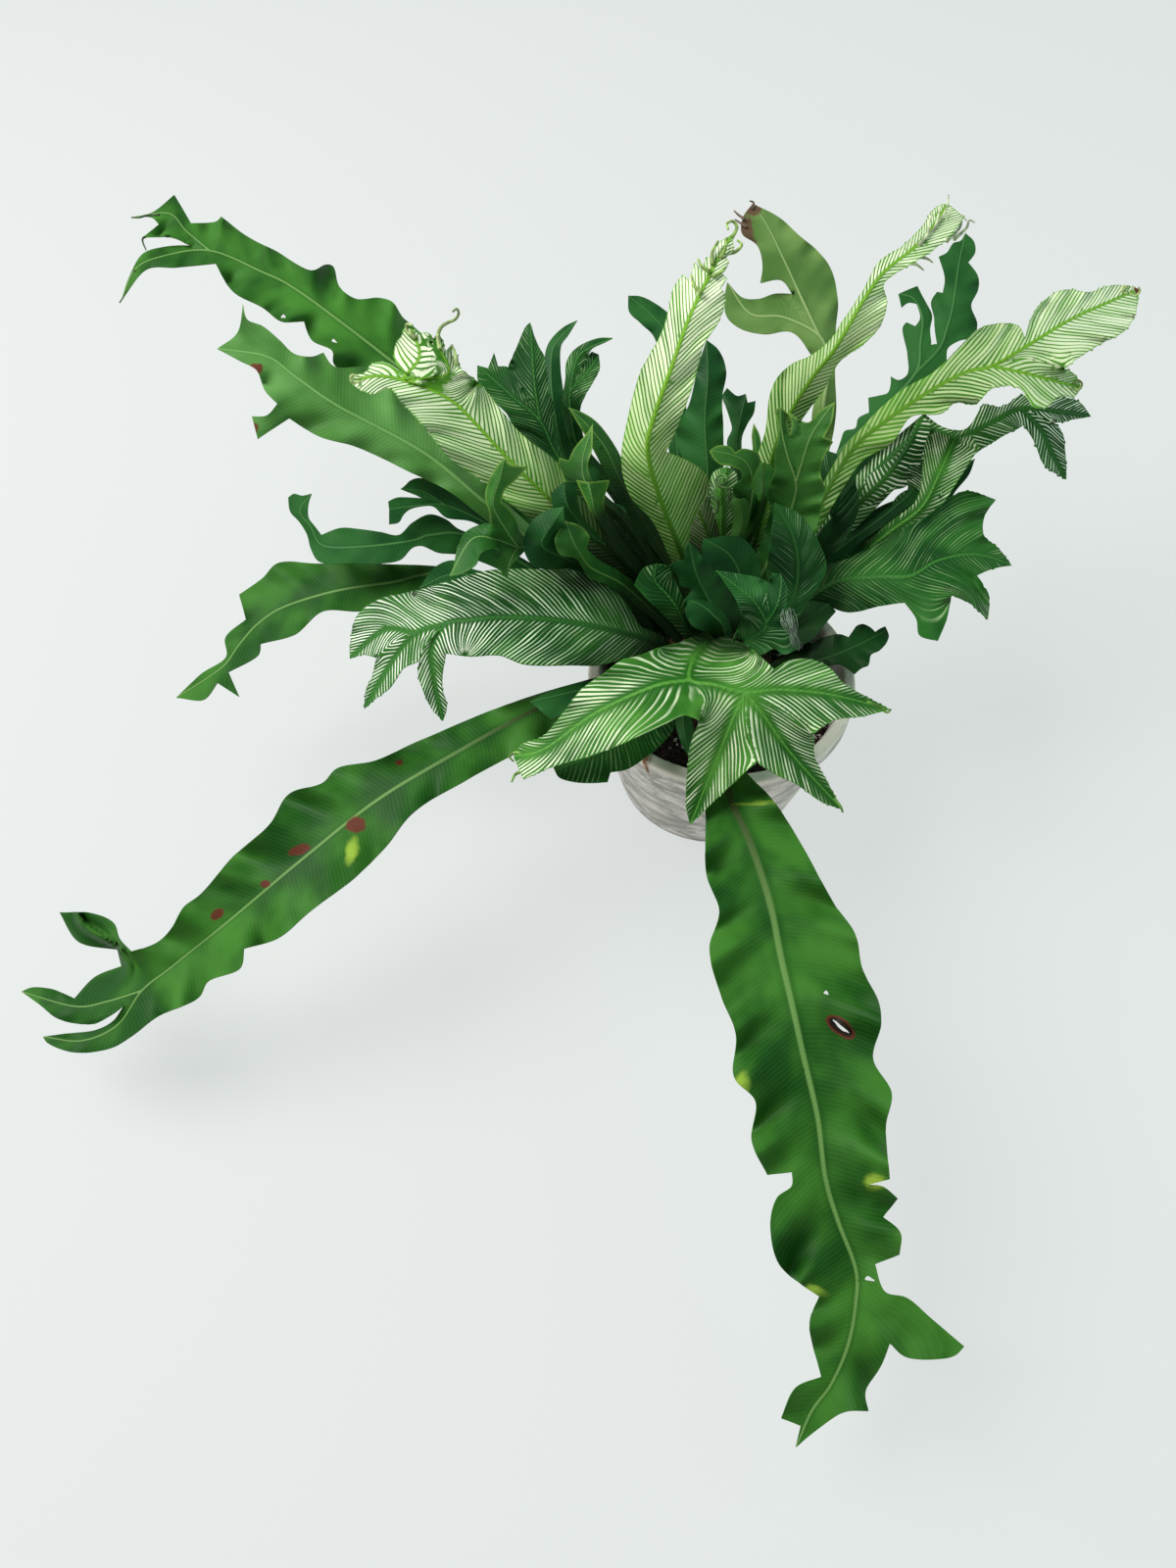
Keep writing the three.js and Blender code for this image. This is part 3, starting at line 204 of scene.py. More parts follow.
def mesh_piece(name, points, faces, finish, slot, nodes, smooth=True):
    """A named piece that stands for CAD nodes, made from points in millimetres."""
    mesh = bpy.data.meshes.new(name)
    mesh.from_pydata(np.asarray(points, float) * MM, [], faces)
    mesh.materials.append(finish)
    mesh.polygons.foreach_set("use_smooth", [smooth] * len(mesh.polygons))
    piece = bpy.data.objects.new(name, mesh)
    scene.collection.objects.link(piece)
    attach(piece, "root")
    if nodes:
        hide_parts(*nodes)
    return piece


def turned(profile, sides):
    """Points and faces of a closed profile of radius and height, turned about the Z axis."""
    points = []
    for radius, height in profile:
        for side in range(sides):
            angle = 2 * math.pi * side / sides
            points.append((radius * math.cos(angle), radius * math.sin(angle), height))
    rings = len(profile)
    faces = []
    for ring in range(rings):
        for side in range(sides):
            low, high = ring * sides, (ring + 1) % rings * sides
            after = (side + 1) % sides
            faces.append((low + side, low + after, high + after, high + side))
    return points, faces


def wall_radius(height):
    """The outside radius of the pot below its rim band."""
    share = height / (POT_HEIGHT - RIM_BAND)
    return BASE_RADIUS + (RIM_RADIUS - RIM_STEP - BASE_RADIUS) * share


cement = Recipe("weathered_cement", 0.85, 0.3)
speckle = cement.cloud(cement.place(), 900, 2, 0.6)
streaks = cement.cloud(cement.place((1, 1, 3.2), (0.5, 0.25, 0)), 45, 6, 0.7, 0.6)
stain = cement.cloud(cement.place(), 16, 4, 0.6)
height = cement.add("SeparateXYZ", {0: cement.place()}).outputs["Z"]
body = cement.blend(cement.spread(streaks, 0.40, 0.62), (0.40, 0.385, 0.35), (0.84, 0.80, 0.75))
body = cement.blend(cement.spread(stain, 0.45, 0.7, 0, 0.45), body, (0.88, 0.82, 0.74))
body = cement.blend(cement.spread(speckle, 0.6, 0.72, 0, 0.5), body, (0.16, 0.155, 0.14))
lip = cement.sum("ADD", height, cement.sum("MULTIPLY", stain, 0.008))
# Pale lip: partly wear, partly a painted highlight of the light falling on the lip.
body = cement.blend(cement.spread(lip, 0.0915, 0.0965, 0, 0.85), body, (0.92, 0.85, 0.75))
body = cement.blend(cement.spread(lip, 0.006, 0.011, 0.6, 0), body, (0.20, 0.19, 0.17))
cement.colour(body)
grain = cement.sum("ADD", streaks, cement.sum("MULTIPLY", speckle, 0.5))
cement.relief(grain, 0.0006)

round_steps = [(math.sin(a), math.cos(a)) for a in (0, 0.4, 0.8, 1.2, math.pi / 2)]
inner_floor = wall_radius(POT_FLOOR) - WALL
inner_top = RIM_RADIUS - WALL
around_drain = (DRAIN_RING - 9, DRAIN_RING + 9)
profile = [(0.01, 0), (12, 0), *[(ring, 0) for ring in around_drain], (BASE_RADIUS - LIP_ROUND, 0)]
profile += [(BASE_RADIUS + LIP_ROUND * (s - 1), LIP_ROUND * (1 - c)) for s, c in round_steps]
profile += [(wall_radius(h), h) for h in range(6, POT_HEIGHT - RIM_BAND + 1, 3)]
profile += [(RIM_RADIUS - 0.8, POT_HEIGHT - RIM_BAND + 1.6), (RIM_RADIUS, POT_HEIGHT - 11)]
profile += [(RIM_RADIUS, h) for h in range(POT_HEIGHT - 8, POT_HEIGHT - 2, 3)]
lip_middle = POT_HEIGHT - LIP_ROUND
profile += [(RIM_RADIUS + LIP_ROUND * (c - 1), lip_middle + LIP_ROUND * s) for s, c in round_steps]
profile += [(inner_top + LIP_ROUND * (1 - s), lip_middle + LIP_ROUND * c) for s, c in round_steps]
for share in [k / 9 for k in range(8, -1, -1)]:
    radius = inner_floor + (inner_top - inner_floor) * share
    profile.append((radius, POT_FLOOR + (lip_middle - POT_FLOOR) * share))
profile += [(ring, POT_FLOOR) for ring in around_drain[::-1]] + [(0.01, POT_FLOOR)]
points, faces = turned(profile, POT_SIDES)
worn = []
for x, y, z in points:
    push = noise.noise(Vector((x, y, z)) / 22) + 0.5 * noise.noise(Vector((x, y, z)) / 6)
    radius = math.hypot(x, y)
    share = 1 + POT_WEAR * push / radius if radius > BASE_RADIUS - 12 and z > 1 else 1
    sink = LIP_WEAR * max(0, noise.noise(Vector((x, y, 40)) / 9)) if z > POT_HEIGHT - 1.5 else 0
    worn.append((x * share, y * share, z - sink))
pot = mesh_piece("cement_pot", worn, faces, cement.material, "grey_cement", ["pot"])
for hole in range(DRAIN_HOLES):
    turn = (hole + 0.5) / DRAIN_HOLES * 2 * math.pi
    bpy.ops.mesh.primitive_cylinder_add(
        vertices=24,
        radius=DRAIN_RADIUS * MM,
        depth=POT_FLOOR * 3 * MM,
        location=(DRAIN_RING * math.cos(turn) * MM, DRAIN_RING * math.sin(turn) * MM, 0),
    )
    drill = bpy.context.object
    cut = pot.modifiers.new("drain_hole", "BOOLEAN")
    cut.object = drill
    cut.operation = "DIFFERENCE"
    bpy.context.view_layer.objects.active = pot
    bpy.ops.object.modifier_apply(modifier=cut.name)
    bpy.data.objects.remove(drill)


# Potting mix: dark bark and peat crumbs with white grains of perlite, filled to below the lip.
# A rough bed carries loose crumbs that are pressed a little way into it.
MIX_TOP = 83
MIX_CRUMBS = 1500
MIX_PERLITE = 560
GRAIN_SIDES = 7
GRAIN_REACH = 65.5
CROWN_CLEAR = 34
CROWN_MIDDLE = (-8, 14)


def crumb(centre, size, sides, seed):
    """Points and faces of one rough grain."""
    points = []
    faces = []
    for ring in range(1, 4):
        tilt = math.pi * ring / 4
        for side in range(sides):
            angle = 2 * math.pi * side / sides
            way = Vector((math.sin(tilt) * math.cos(angle), math.sin(tilt) * math.sin(angle), 0))
            way.z = math.cos(tilt)
            reach = size * (0.75 + 0.5 * noise.noise(way * 1.7 + Vector((seed, 0, 0))))
            points.append(Vector(centre) + Vector((way.x, way.y, 0.8 * way.z)) * reach)
    top, bottom = len(points), len(points) + 1
    points.append(Vector(centre) + Vector((0, 0, 0.62 * size)))
    points.append(Vector(centre) - Vector((0, 0, 0.62 * size)))
    for side in range(sides):
        after = (side + 1) % sides
        faces.append((top, side, after))
        faces.append((bottom, 2 * sides + after, 2 * sides + side))
        for ring in (0, 1):
            low, high = ring * sides, (ring + 1) * sides
            faces.append((low + side, high + side, high + after, low + after))
    return points, faces


def mix_height(x, y):
    """The height of the bed of the mix at a place."""
    swell = noise.noise(Vector((x, y, 3)) / 17) * 2.2 + noise.noise(Vector((x, y, 9)) / 5) * 0.9
    edge = max(0, math.hypot(x, y) - 58) * 0.12
    return MIX_TOP - 1.5 + swell - edge


def scatter(count, smallest, largest, seed):
    """Many grains lying on the bed, as one set of points and faces."""
    draw = random.Random(seed)
    points, faces = [], []
    while count:
        angle, reach = draw.uniform(0, 2 * math.pi), GRAIN_REACH * math.sqrt(draw.random())
        x, y = reach * math.cos(angle), reach * math.sin(angle)
        if math.hypot(x - CROWN_MIDDLE[0], y - CROWN_MIDDLE[1]) < CROWN_CLEAR:
            continue
        size = draw.uniform(smallest, largest)
        centre = (x, y, mix_height(x, y) + draw.uniform(-0.1, 0.45) * size)
        more, sides = crumb(centre, size, GRAIN_SIDES, draw.uniform(0, 500))
        faces += [tuple(len(points) + corner for corner in face) for face in sides]
        points += more
        count -= 1
    return points, faces


bark = Recipe("damp_bark_mix", 0.9, 0.3)
shade = bark.cloud(bark.place(), 420, 4, 0.65)
bark.colour(bark.blend(bark.spread(shade, 0.38, 0.68), (0.012, 0.006, 0.006), (0.060, 0.028, 0.024)))
bark.relief(bark.cloud(bark.place(), 1400, 3), 0.0005)
perlite = Recipe("white_perlite", 0.8, 0.4)
shade = perlite.cloud(perlite.place(), 500, 3)
perlite.colour(perlite.blend(perlite.spread(shade, 0.4, 0.62), (0.46, 0.41, 0.36), (0.80, 0.77, 0.72)))
perlite.relief(perlite.cloud(perlite.place(), 1800, 2), 0.0004)

BED_RINGS = 34
BED_SIDES = 96
BED_REACH = 67.2
BED_TAPER = 0.76
BED_FOOT = POT_FLOOR + 0.5
points = [(0, 0, mix_height(0, 0))]
for ring in range(1, BED_RINGS + 1):
    reach = BED_REACH * ring / BED_RINGS
    for side in range(BED_SIDES):
        angle = 2 * math.pi * side / BED_SIDES
        x, y = reach * math.cos(angle), reach * math.sin(angle)
        points.append((x, y, mix_height(x, y)))
faces = [(0, 1 + side, 1 + (side + 1) % BED_SIDES) for side in range(BED_SIDES)]
for ring in range(BED_RINGS - 1):
    for side in range(BED_SIDES):
        low, high = 1 + ring * BED_SIDES, 1 + (ring + 1) * BED_SIDES
        after = (side + 1) % BED_SIDES
        faces.append((low + side, high + side, high + after, low + after))
under = len(points)
outer = points[-BED_SIDES:]
points += [(x * BED_TAPER, y * BED_TAPER, BED_FOOT) for x, y, z in outer] + [(0, 0, BED_FOOT)]
for side in range(BED_SIDES):
    after = (side + 1) % BED_SIDES
    low = under - BED_SIDES
    faces.append((low + side, under + side, under + after, low + after))
    faces.append((under + BED_SIDES, under + after, under + side))
mesh_piece("mix_bed", points, faces, bark.material, "potting_mix", ["potting_mix"])
points, faces = scatter(MIX_CRUMBS, 0.9, 2.4, 5)
mesh_piece("mix_crumbs", points, faces, bark.material, "potting_mix", [])
points, faces = scatter(MIX_PERLITE, 0.9, 2.4, 8)
mesh_piece("mix_perlite", points, faces, perlite.material, "potting_mix", [])


# Crown: the short fibrous stem that the fronds spring from, wrapped in brown hair and scales.
# One knobbly mound stands on the mix and holds the foot of every stalk.
CROWN_TOP = 104.6
CROWN_FOOT = 66
CROWN_ROWS = 26
CROWN_SIDES = 72


def crown_radius(height):
    """How wide the mound is at a height, following the terraces that the stalks stand on."""
    marks = [(66, 23), (79, 38.5), (88.5, 38.5), (92.5, 33), (96.5, 26), (100.5, 19), (104.5, 11)]
    heights, radii = zip(*marks)
    return float(np.interp(height, heights, radii))


hair = Recipe("brown_crown_hair", 0.95, 0.2)
strands = hair.cloud(hair.place((1, 1, 0.25)), 700, 4, 0.7, 0.4)
hair.colour(hair.blend(hair.spread(strands, 0.36, 0.66), (0.012, 0.008, 0.005), (0.11, 0.062, 0.03)))
hair.relief(strands, 0.0012)
points = []
for row in range(CROWN_ROWS + 1):
    height = CROWN_FOOT + (CROWN_TOP - CROWN_FOOT) * row / CROWN_ROWS
    for side in range(CROWN_SIDES):
        angle = 2 * math.pi * side / CROWN_SIDES
        way = Vector((math.cos(angle), math.sin(angle), 0))
        knob = noise.noise(way * 4 + Vector((0, 0, height / 7))) * 1.6
        reach = crown_radius(height) + knob + 0.8
        points.append((CROWN_MIDDLE[0] + way.x * reach, CROWN_MIDDLE[1] + way.y * reach, height))
faces = []
for row in range(CROWN_ROWS):
    for side in range(CROWN_SIDES):
        low, high, after = row * CROWN_SIDES, (row + 1) * CROWN_SIDES, (side + 1) % CROWN_SIDES
        faces.append((low + side, low + after, high + after, high + side))
faces.append(tuple(range(CROWN_SIDES))[::-1])
faces.append(tuple(range(CROWN_ROWS * CROWN_SIDES, (CROWN_ROWS + 1) * CROWN_SIDES)))
mesh_piece("crown_mound", points, faces, hair.material, "brown_stem", ["crown"])


# Long plain fronds: leathery straps with a pale raised rib, faint side veins and wavy margins.
# Each is laid out as it shows to the eye, then lifted to the height that its rib and edges have.
AHEAD = np.array([0, math.cos(EYE_PITCH), -math.sin(EYE_PITCH)])
BELOW = np.array([0, -math.sin(EYE_PITCH), -math.cos(EYE_PITCH)])
TERRACE_TOPS = [104, 100, 96, 92, 88]
ROOT_RINGS = [6, 13.5, 20.5, 27.5, 34.5]
FOOT_GAP = 0.3
STALK_HALF_WIDTH = 2.2
STALK_HALF = 1.2
STALK_LENGTH = 45
STALK_PICTURE_WIDTH = 4
STALK_SHARE = 0.9
STALK_MARKS = 6
HEIGHT_LEAN = 0.3
EVEN_SHARE = 0.4
BLADE_HALF = 0.2
GRID_STEP = 3.4
LINE_STEP = 2.6
CORNER_TURN = math.radians(62)
SETTLE_ROUNDS = 320
LEAN_START = 0.7
SEAM_SHARE = 0.5
STEEP_LIMIT = 1.5
CALM_VEINS = 0.24
CROWDED_VEINS = 5.0
HOLE_POINTS = 14
HOLE_UNEVEN = 0.25
BESIDE_RIB = (1.3, 3.0)
RIB_BANDS = (0.9, 3.3, 4.6)
RIM_BARE = 1.1
FULL_WAVE_WIDTH = 18
FULL_WAVE_RUN = 40
WAVE_CURVE = 1.6
CUP_CURVE = 1.5
RIB_ABOVE = 0.22
RIB_BELOW = 0.75
RIB_TAPER = (1.25, 0.95)
WAVE_STARTS = 6.28


def sight(across, down, height):
    """The points at given heights on the lines of sight through places in the picture."""
    across, down, height = (np.asarray(v, float) for v in (across, down, height))
    ray = AHEAD + BELOW * ((down - PICTURE_MIDDLE[1]) / PICTURE_REACH)[..., None]
    ray = ray + np.array([1, 0, 0]) * ((across - PICTURE_MIDDLE[0]) / PICTURE_REACH)[..., None]
    return EYE + ray * ((height - EYE[2]) / ray[..., 2])[..., None]


def plot(point):
    """Where a point shows in the picture, and its height."""
    offset = np.asarray(point, float) - EYE
    depth = offset @ AHEAD
    across = PICTURE_MIDDLE[0] + PICTURE_REACH * offset[0] / depth
    return np.array([across, PICTURE_MIDDLE[1] + PICTURE_REACH * (offset @ BELOW) / depth, point[2]])


def runs(line):
    """How far along a line each of its points lies."""
    return np.concatenate([[0], np.cumsum(np.linalg.norm(np.diff(line, axis=0), axis=1))])


def bend_through(points, step, even, corners=False):
    """A smooth line through points and where on it each of its points is, counted in points.
    An even one keeps to the points' own spacing, and corners stay sharp where asked."""
    points = np.asarray(points, float)
    padded = np.vstack([2 * points[0] - points[1], points, 2 * points[-1] - points[-2]])
    line, at = [points[0]], [0.0]
    chords = np.diff(points[:, :2], axis=0)
    turns = np.zeros(len(points))
    for i in range(1, len(points) - 1):
        a, b = Vector(chords[i - 1]), Vector(chords[i])
        if a.length > 0.01 and b.length > 0.01:
            turns[i] = a.angle(b)
    for i in range(len(points) - 1):
        p0, p1, p2, p3 = padded[i : i + 4]
        spans = [max(0.05, np.linalg.norm(b - a)) for a, b in ((p0, p1), (p1, p2), (p2, p3))]
        if even:
            leave, arrive = (p2 - p0) / 2, (p3 - p1) / 2
        else:
            d0, d1, d2 = np.sqrt(spans)
            leave = d1 * ((p1 - p0) / d0 - (p2 - p0) / (d0 + d1) + (p2 - p1) / d1)
            arrive = d1 * ((p2 - p1) / d1 - (p3 - p1) / (d1 + d2) + (p3 - p2) / d2)
        if corners and turns[i] > CORNER_TURN:
            leave = (p2 - p1) * 0.8
        if corners and turns[i + 1] > CORNER_TURN:
            arrive = (p2 - p1) * 0.8
        cuts = max(1, round(np.linalg.norm((p2 - p1)[:2]) / step))
        for cut in range(1, cuts + 1):
            s = cut / cuts
            line.append(
                (2 * s**3 - 3 * s**2 + 1) * p1
                + (s**3 - 2 * s**2 + s) * leave
                + (3 * s**2 - 2 * s**3) * p2
                + (s**3 - s**2) * arrive
            )
            at.append(i + s)
    return np.array(line), np.array(at)


def nearest_on(line, places):
    """For each place, the nearest point of a line in the picture: how far off, and the line's
    place there, counted in its points."""
    start, way = line[:-1, :2], np.diff(line[:, :2], axis=0)
    to = places[:, None, :2] - start[None]
    part = np.clip((to * way).sum(2) / np.maximum((way**2).sum(1), 1e-9), 0, 1)
    off = np.linalg.norm(to - part[..., None] * way, axis=2)
    best = off.argmin(1)
    rows = np.arange(len(places))
    return off[rows, best], best + part[rows, best]


def on_line(line, at):
    """The points of a line at places counted in its points."""
    numbers = np.arange(len(line))
    if line.ndim == 1:
        return np.interp(at, numbers, line)
    return np.stack([np.interp(at, numbers, line[:, k]) for k in range(line.shape[1])], 1)


def beside(line, i, side):
    """The direction across a line in the picture, to the left for side 1."""
    course = line[min(i + 1, len(line) - 1)] - line[max(i - 1, 0)]
    way = np.array([course[1], -course[0]]) * side
    return way / max(np.linalg.norm(way), 1e-9)


def inside(loops, places):
    """Which places lie within the loops, where a loop in a loop is a hole."""
    crossings = np.zeros(len(places), int)
    x, y = places[:, 0, None], places[:, 1, None]
    for loop in loops:
        a, b = loop, np.roll(loop, -1, axis=0)
        spans = (a[:, 1] > y) != (b[:, 1] > y)
        drop = np.where(b[:, 1] == a[:, 1], 1e-9, b[:, 1] - a[:, 1])
        meets = x < a[:, 0] + (y - a[:, 1]) / drop * (b[:, 0] - a[:, 0])
        crossings += (spans & meets).sum(1)
    return crossings % 2 == 1


def settle(values, fixed, triangles, places):
    """Evens out each row of values over a flat net, like a soap film held at the fixed points."""
    corner = places[triangles]
    first, second, weight = [], [], []
    for k in range(3):
        a, b, c = (corner[:, (k + j) % 3] for j in range(3))
        u, v = b - a, c - a
        area = np.abs(u[:, 0] * v[:, 1] - u[:, 1] * v[:, 0])
        slope = np.clip((u * v).sum(1) / np.maximum(area, 1e-6), 0.01, 20)
        first += [triangles[:, (k + 1) % 3], triangles[:, (k + 2) % 3]]
        second += [triangles[:, (k + 2) % 3], triangles[:, (k + 1) % 3]]
        weight += [slope, slope]
    first, second, weight = (np.concatenate(part) for part in (first, second, weight))
    count = len(places)
    total = np.maximum(np.bincount(first, weight, count), 1e-9)
    free = ~fixed
    for row in values:
        for _ in range(SETTLE_ROUNDS):
            pulled = np.bincount(first, weight * row[second], count) / total
            row[free] = pulled[free]
    return values


def match(line, edge, lean):
    """The place on a rib, counted in its points, that each point of an edge hangs on."""
    run = runs(line)
    off, at = nearest_on(line, edge)
    share = (on_line(run, at) - lean * off) / run[-1]
    share = np.clip(np.maximum.accumulate(share), 0, 1)
    even = runs(edge[:, :2]) / runs(edge[:, :2])[-1]
    share = share + (even - share) * EVEN_SHARE
    share[0], share[-1] = 0, 1
    return np.interp(share * run[-1], run, np.arange(len(line)))


def wave(run, length, draw):
    """A smooth uneven wave along a margin, from about -1 to 1."""
    total = 0
    for share, part in ((1.0, 0.6), (0.61, 0.3), (1.83, 0.35)):
        start = draw.uniform(0, WAVE_STARTS)
        total = total + part * np.sin(2 * math.pi * run / (length * share) + start)
    return total


def lay_ribs(ribs, base_point):
    """Every rib as a smooth line in the picture from the foot to its tip, with the points where
    the next rib may leave it and how far along the real rib each of its points lies."""
    chains = []
    for start, points in ribs:
        trunk = chains[-1] if chains else None
        origin = trunk["line"][trunk["stops"][start]] if trunk else plot(base_point)
        line, at = bend_through([origin, *points], LINE_STEP, even=True)
        stops = [int(np.argmin(np.abs(at - k))) for k in range(1, len(points) + 1)]
        base = trunk["stops"][start] if trunk else 0
        chains.append({
            "base": base,
            "line": np.vstack([trunk["line"][:base], line]) if trunk else line,
            "stops": (trunk["stops"][: start + 1] if trunk else []) + [base + s for s in stops],
        })
    for chain in chains:
        line = chain["line"]
        chain["run"] = runs(sight(line[:, 0], line[:, 1], line[:, 2]))
    return chains


def cut_hole(across, down, wide, tall, tilt):
    """The edge of a torn hole: an uneven tilted oval in the picture."""
    loop = []
    for k in range(HOLE_POINTS):
        angle = 2 * math.pi * k / HOLE_POINTS
        uneven = 1 + HOLE_UNEVEN * math.sin(3 * angle + across)
        u, v = wide * uneven * math.cos(angle), tall * uneven * math.sin(angle)
        c, s = math.cos(tilt), math.sin(tilt)
        loop.append((across + u * c - v * s, down + u * s + v * c))
    return np.array(loop)


def loose_places(chains, outline, loops):
    """Places for the net: rows beside the ribs, then an even net over the rest of the blade."""
    loose = []
    for chain in chains:
        line = chain["line"][chain["base"]:]
        for i in range(1, len(line) - 1):
            for side in (1, -1):
                for width in BESIDE_RIB:
                    loose.append(line[i, :2] + beside(line, i, side) * width)
    low, high = outline.min(0), outline.max(0)
    row_step = GRID_STEP * math.sqrt(3) / 2
    for row in range(int((high[1] - low[1]) / row_step) + 1):
        xs = np.arange(low[0] + GRID_STEP / 2 * (row % 2), high[0], GRID_STEP)
        loose.extend(np.stack([xs, np.full(len(xs), low[1] + row * row_step)], 1))
    loose = np.array(loose)
    loose = loose[inside(loops, loose)]
    rim_gap = np.min([nearest_on(np.vstack([loop, loop[:1]]), loose)[0] for loop in loops], axis=0)
    loose = loose[rim_gap > RIM_BARE]
    rib_gap = np.min([nearest_on(chain["line"], loose)[0] for chain in chains], axis=0)
    near, bare, far = RIB_BANDS
    return loose[(rib_gap > far) | ((rib_gap > near) & (rib_gap < bare))]


def cut_net(points, edges, loops):
    """The flat net in triangles that keep to the ribs and the outline: its places, its cells and
    the number of the point that each place was, or -1."""
    spots = [Vector(p[:2]) for p in points]
    flat, _, cells, origins, _, _ = delaunay_2d_cdt(spots, edges, [], 0, 1e-4)
    places = np.array([tuple(p) for p in flat])
    cells = np.array([c for c in cells if len(c) == 3])
    cells = cells[inside(loops, places[cells].mean(1))]
    used = np.unique(cells)
    renumber = np.full(len(places), -1)
    renumber[used] = np.arange(len(used))
    source = np.array([origins[i][0] if origins[i] else -1 for i in used])
    return places[used], renumber[cells], source


def marked(places, marks):
    """How strongly the marks, each a tilted oval, colour every place."""
    stain = np.zeros(len(places))
    for across, down, wide, tall, tilt in marks:
        to = places - (across, down)
        c, s = math.cos(tilt), math.sin(tilt)
        u, v = to[:, 0] * c + to[:, 1] * s, to[:, 1] * c - to[:, 0] * s
        stain = np.maximum(stain, 1.5 - np.hypot(u / wide, v / tall))
    return np.clip(stain, 0, 1)


def streak_places(chains, vein, cells, corners):
    """Where each point stands among the streaks, and how clearly they show there. Streaks keep
    their pace where a rib stands steep, and fade where they would spread or crowd."""
    trunk = max(chains, key=lambda chain: chain["run"][-1])
    across, down, level = trunk["line"].T
    mm_size = ((sight(across, down, level) - EYE) @ AHEAD)[1:] / PICTURE_REACH
    seen = np.linalg.norm(np.diff(trunk["line"][:, :2], axis=0), axis=1) * mm_size
    steps = np.minimum(np.diff(trunk["run"]), STEEP_LIMIT * seen)
    streak = np.interp(vein, trunk["run"], np.concatenate([[0], np.cumsum(steps)]))
    side_a, side_b = corners[:, 1] - corners[:, 0], corners[:, 2] - corners[:, 0]
    rise_a, rise_b = (streak[cells[:, k]] - streak[cells[:, 0]] for k in (1, 2))
    aa, ab, bb = ((u * v).sum(1) for u, v in ((side_a, side_a), (side_a, side_b), (side_b, side_b)))
    steep = rise_a**2 * bb - 2 * rise_a * rise_b * ab + rise_b**2 * aa
    steep = np.sqrt(np.maximum(steep, 0) / np.maximum(aa * bb - ab**2, 1e-6))
    met = np.bincount(cells.ravel(), minlength=len(vein))
    steep = np.bincount(cells.ravel(), np.repeat(steep, 3), len(vein)) / np.maximum(met, 1)
    clear = np.clip((steep - CALM_VEINS) / CALM_VEINS, 0, 1) * np.clip(CROWDED_VEINS - steep, 0, 1)
    return streak, clear


def keep_numbers(mesh, kept, rim_pairs):
    """Stores the numbers that the finish reads, the same on both faces, and a sharp rim."""
    for label, values in kept.items():
        store = mesh.attributes.new(label, "FLOAT", "POINT")
        store.data.foreach_set("value", np.tile(values, 2).astype(np.float32))
    count = len(mesh.vertices) // 2
    store = mesh.attributes.new("under", "FLOAT", "POINT")
    store.data.foreach_set("value", np.repeat([0, 1], count).astype(np.float32))
    ends = np.zeros(len(mesh.edges) * 2, int)
    mesh.edges.foreach_get("vertices", ends)
    ends = np.sort(ends.reshape(-1, 2), axis=1)
    sharp = set(map(tuple, np.sort(np.vstack([rim_pairs, rim_pairs + count]), axis=1).tolist()))
    flags = [tuple(pair) in sharp for pair in ends.tolist()]
    mesh.attributes.new("sharp_edge", "BOOLEAN", "EDGE").data.foreach_set("value", flags)


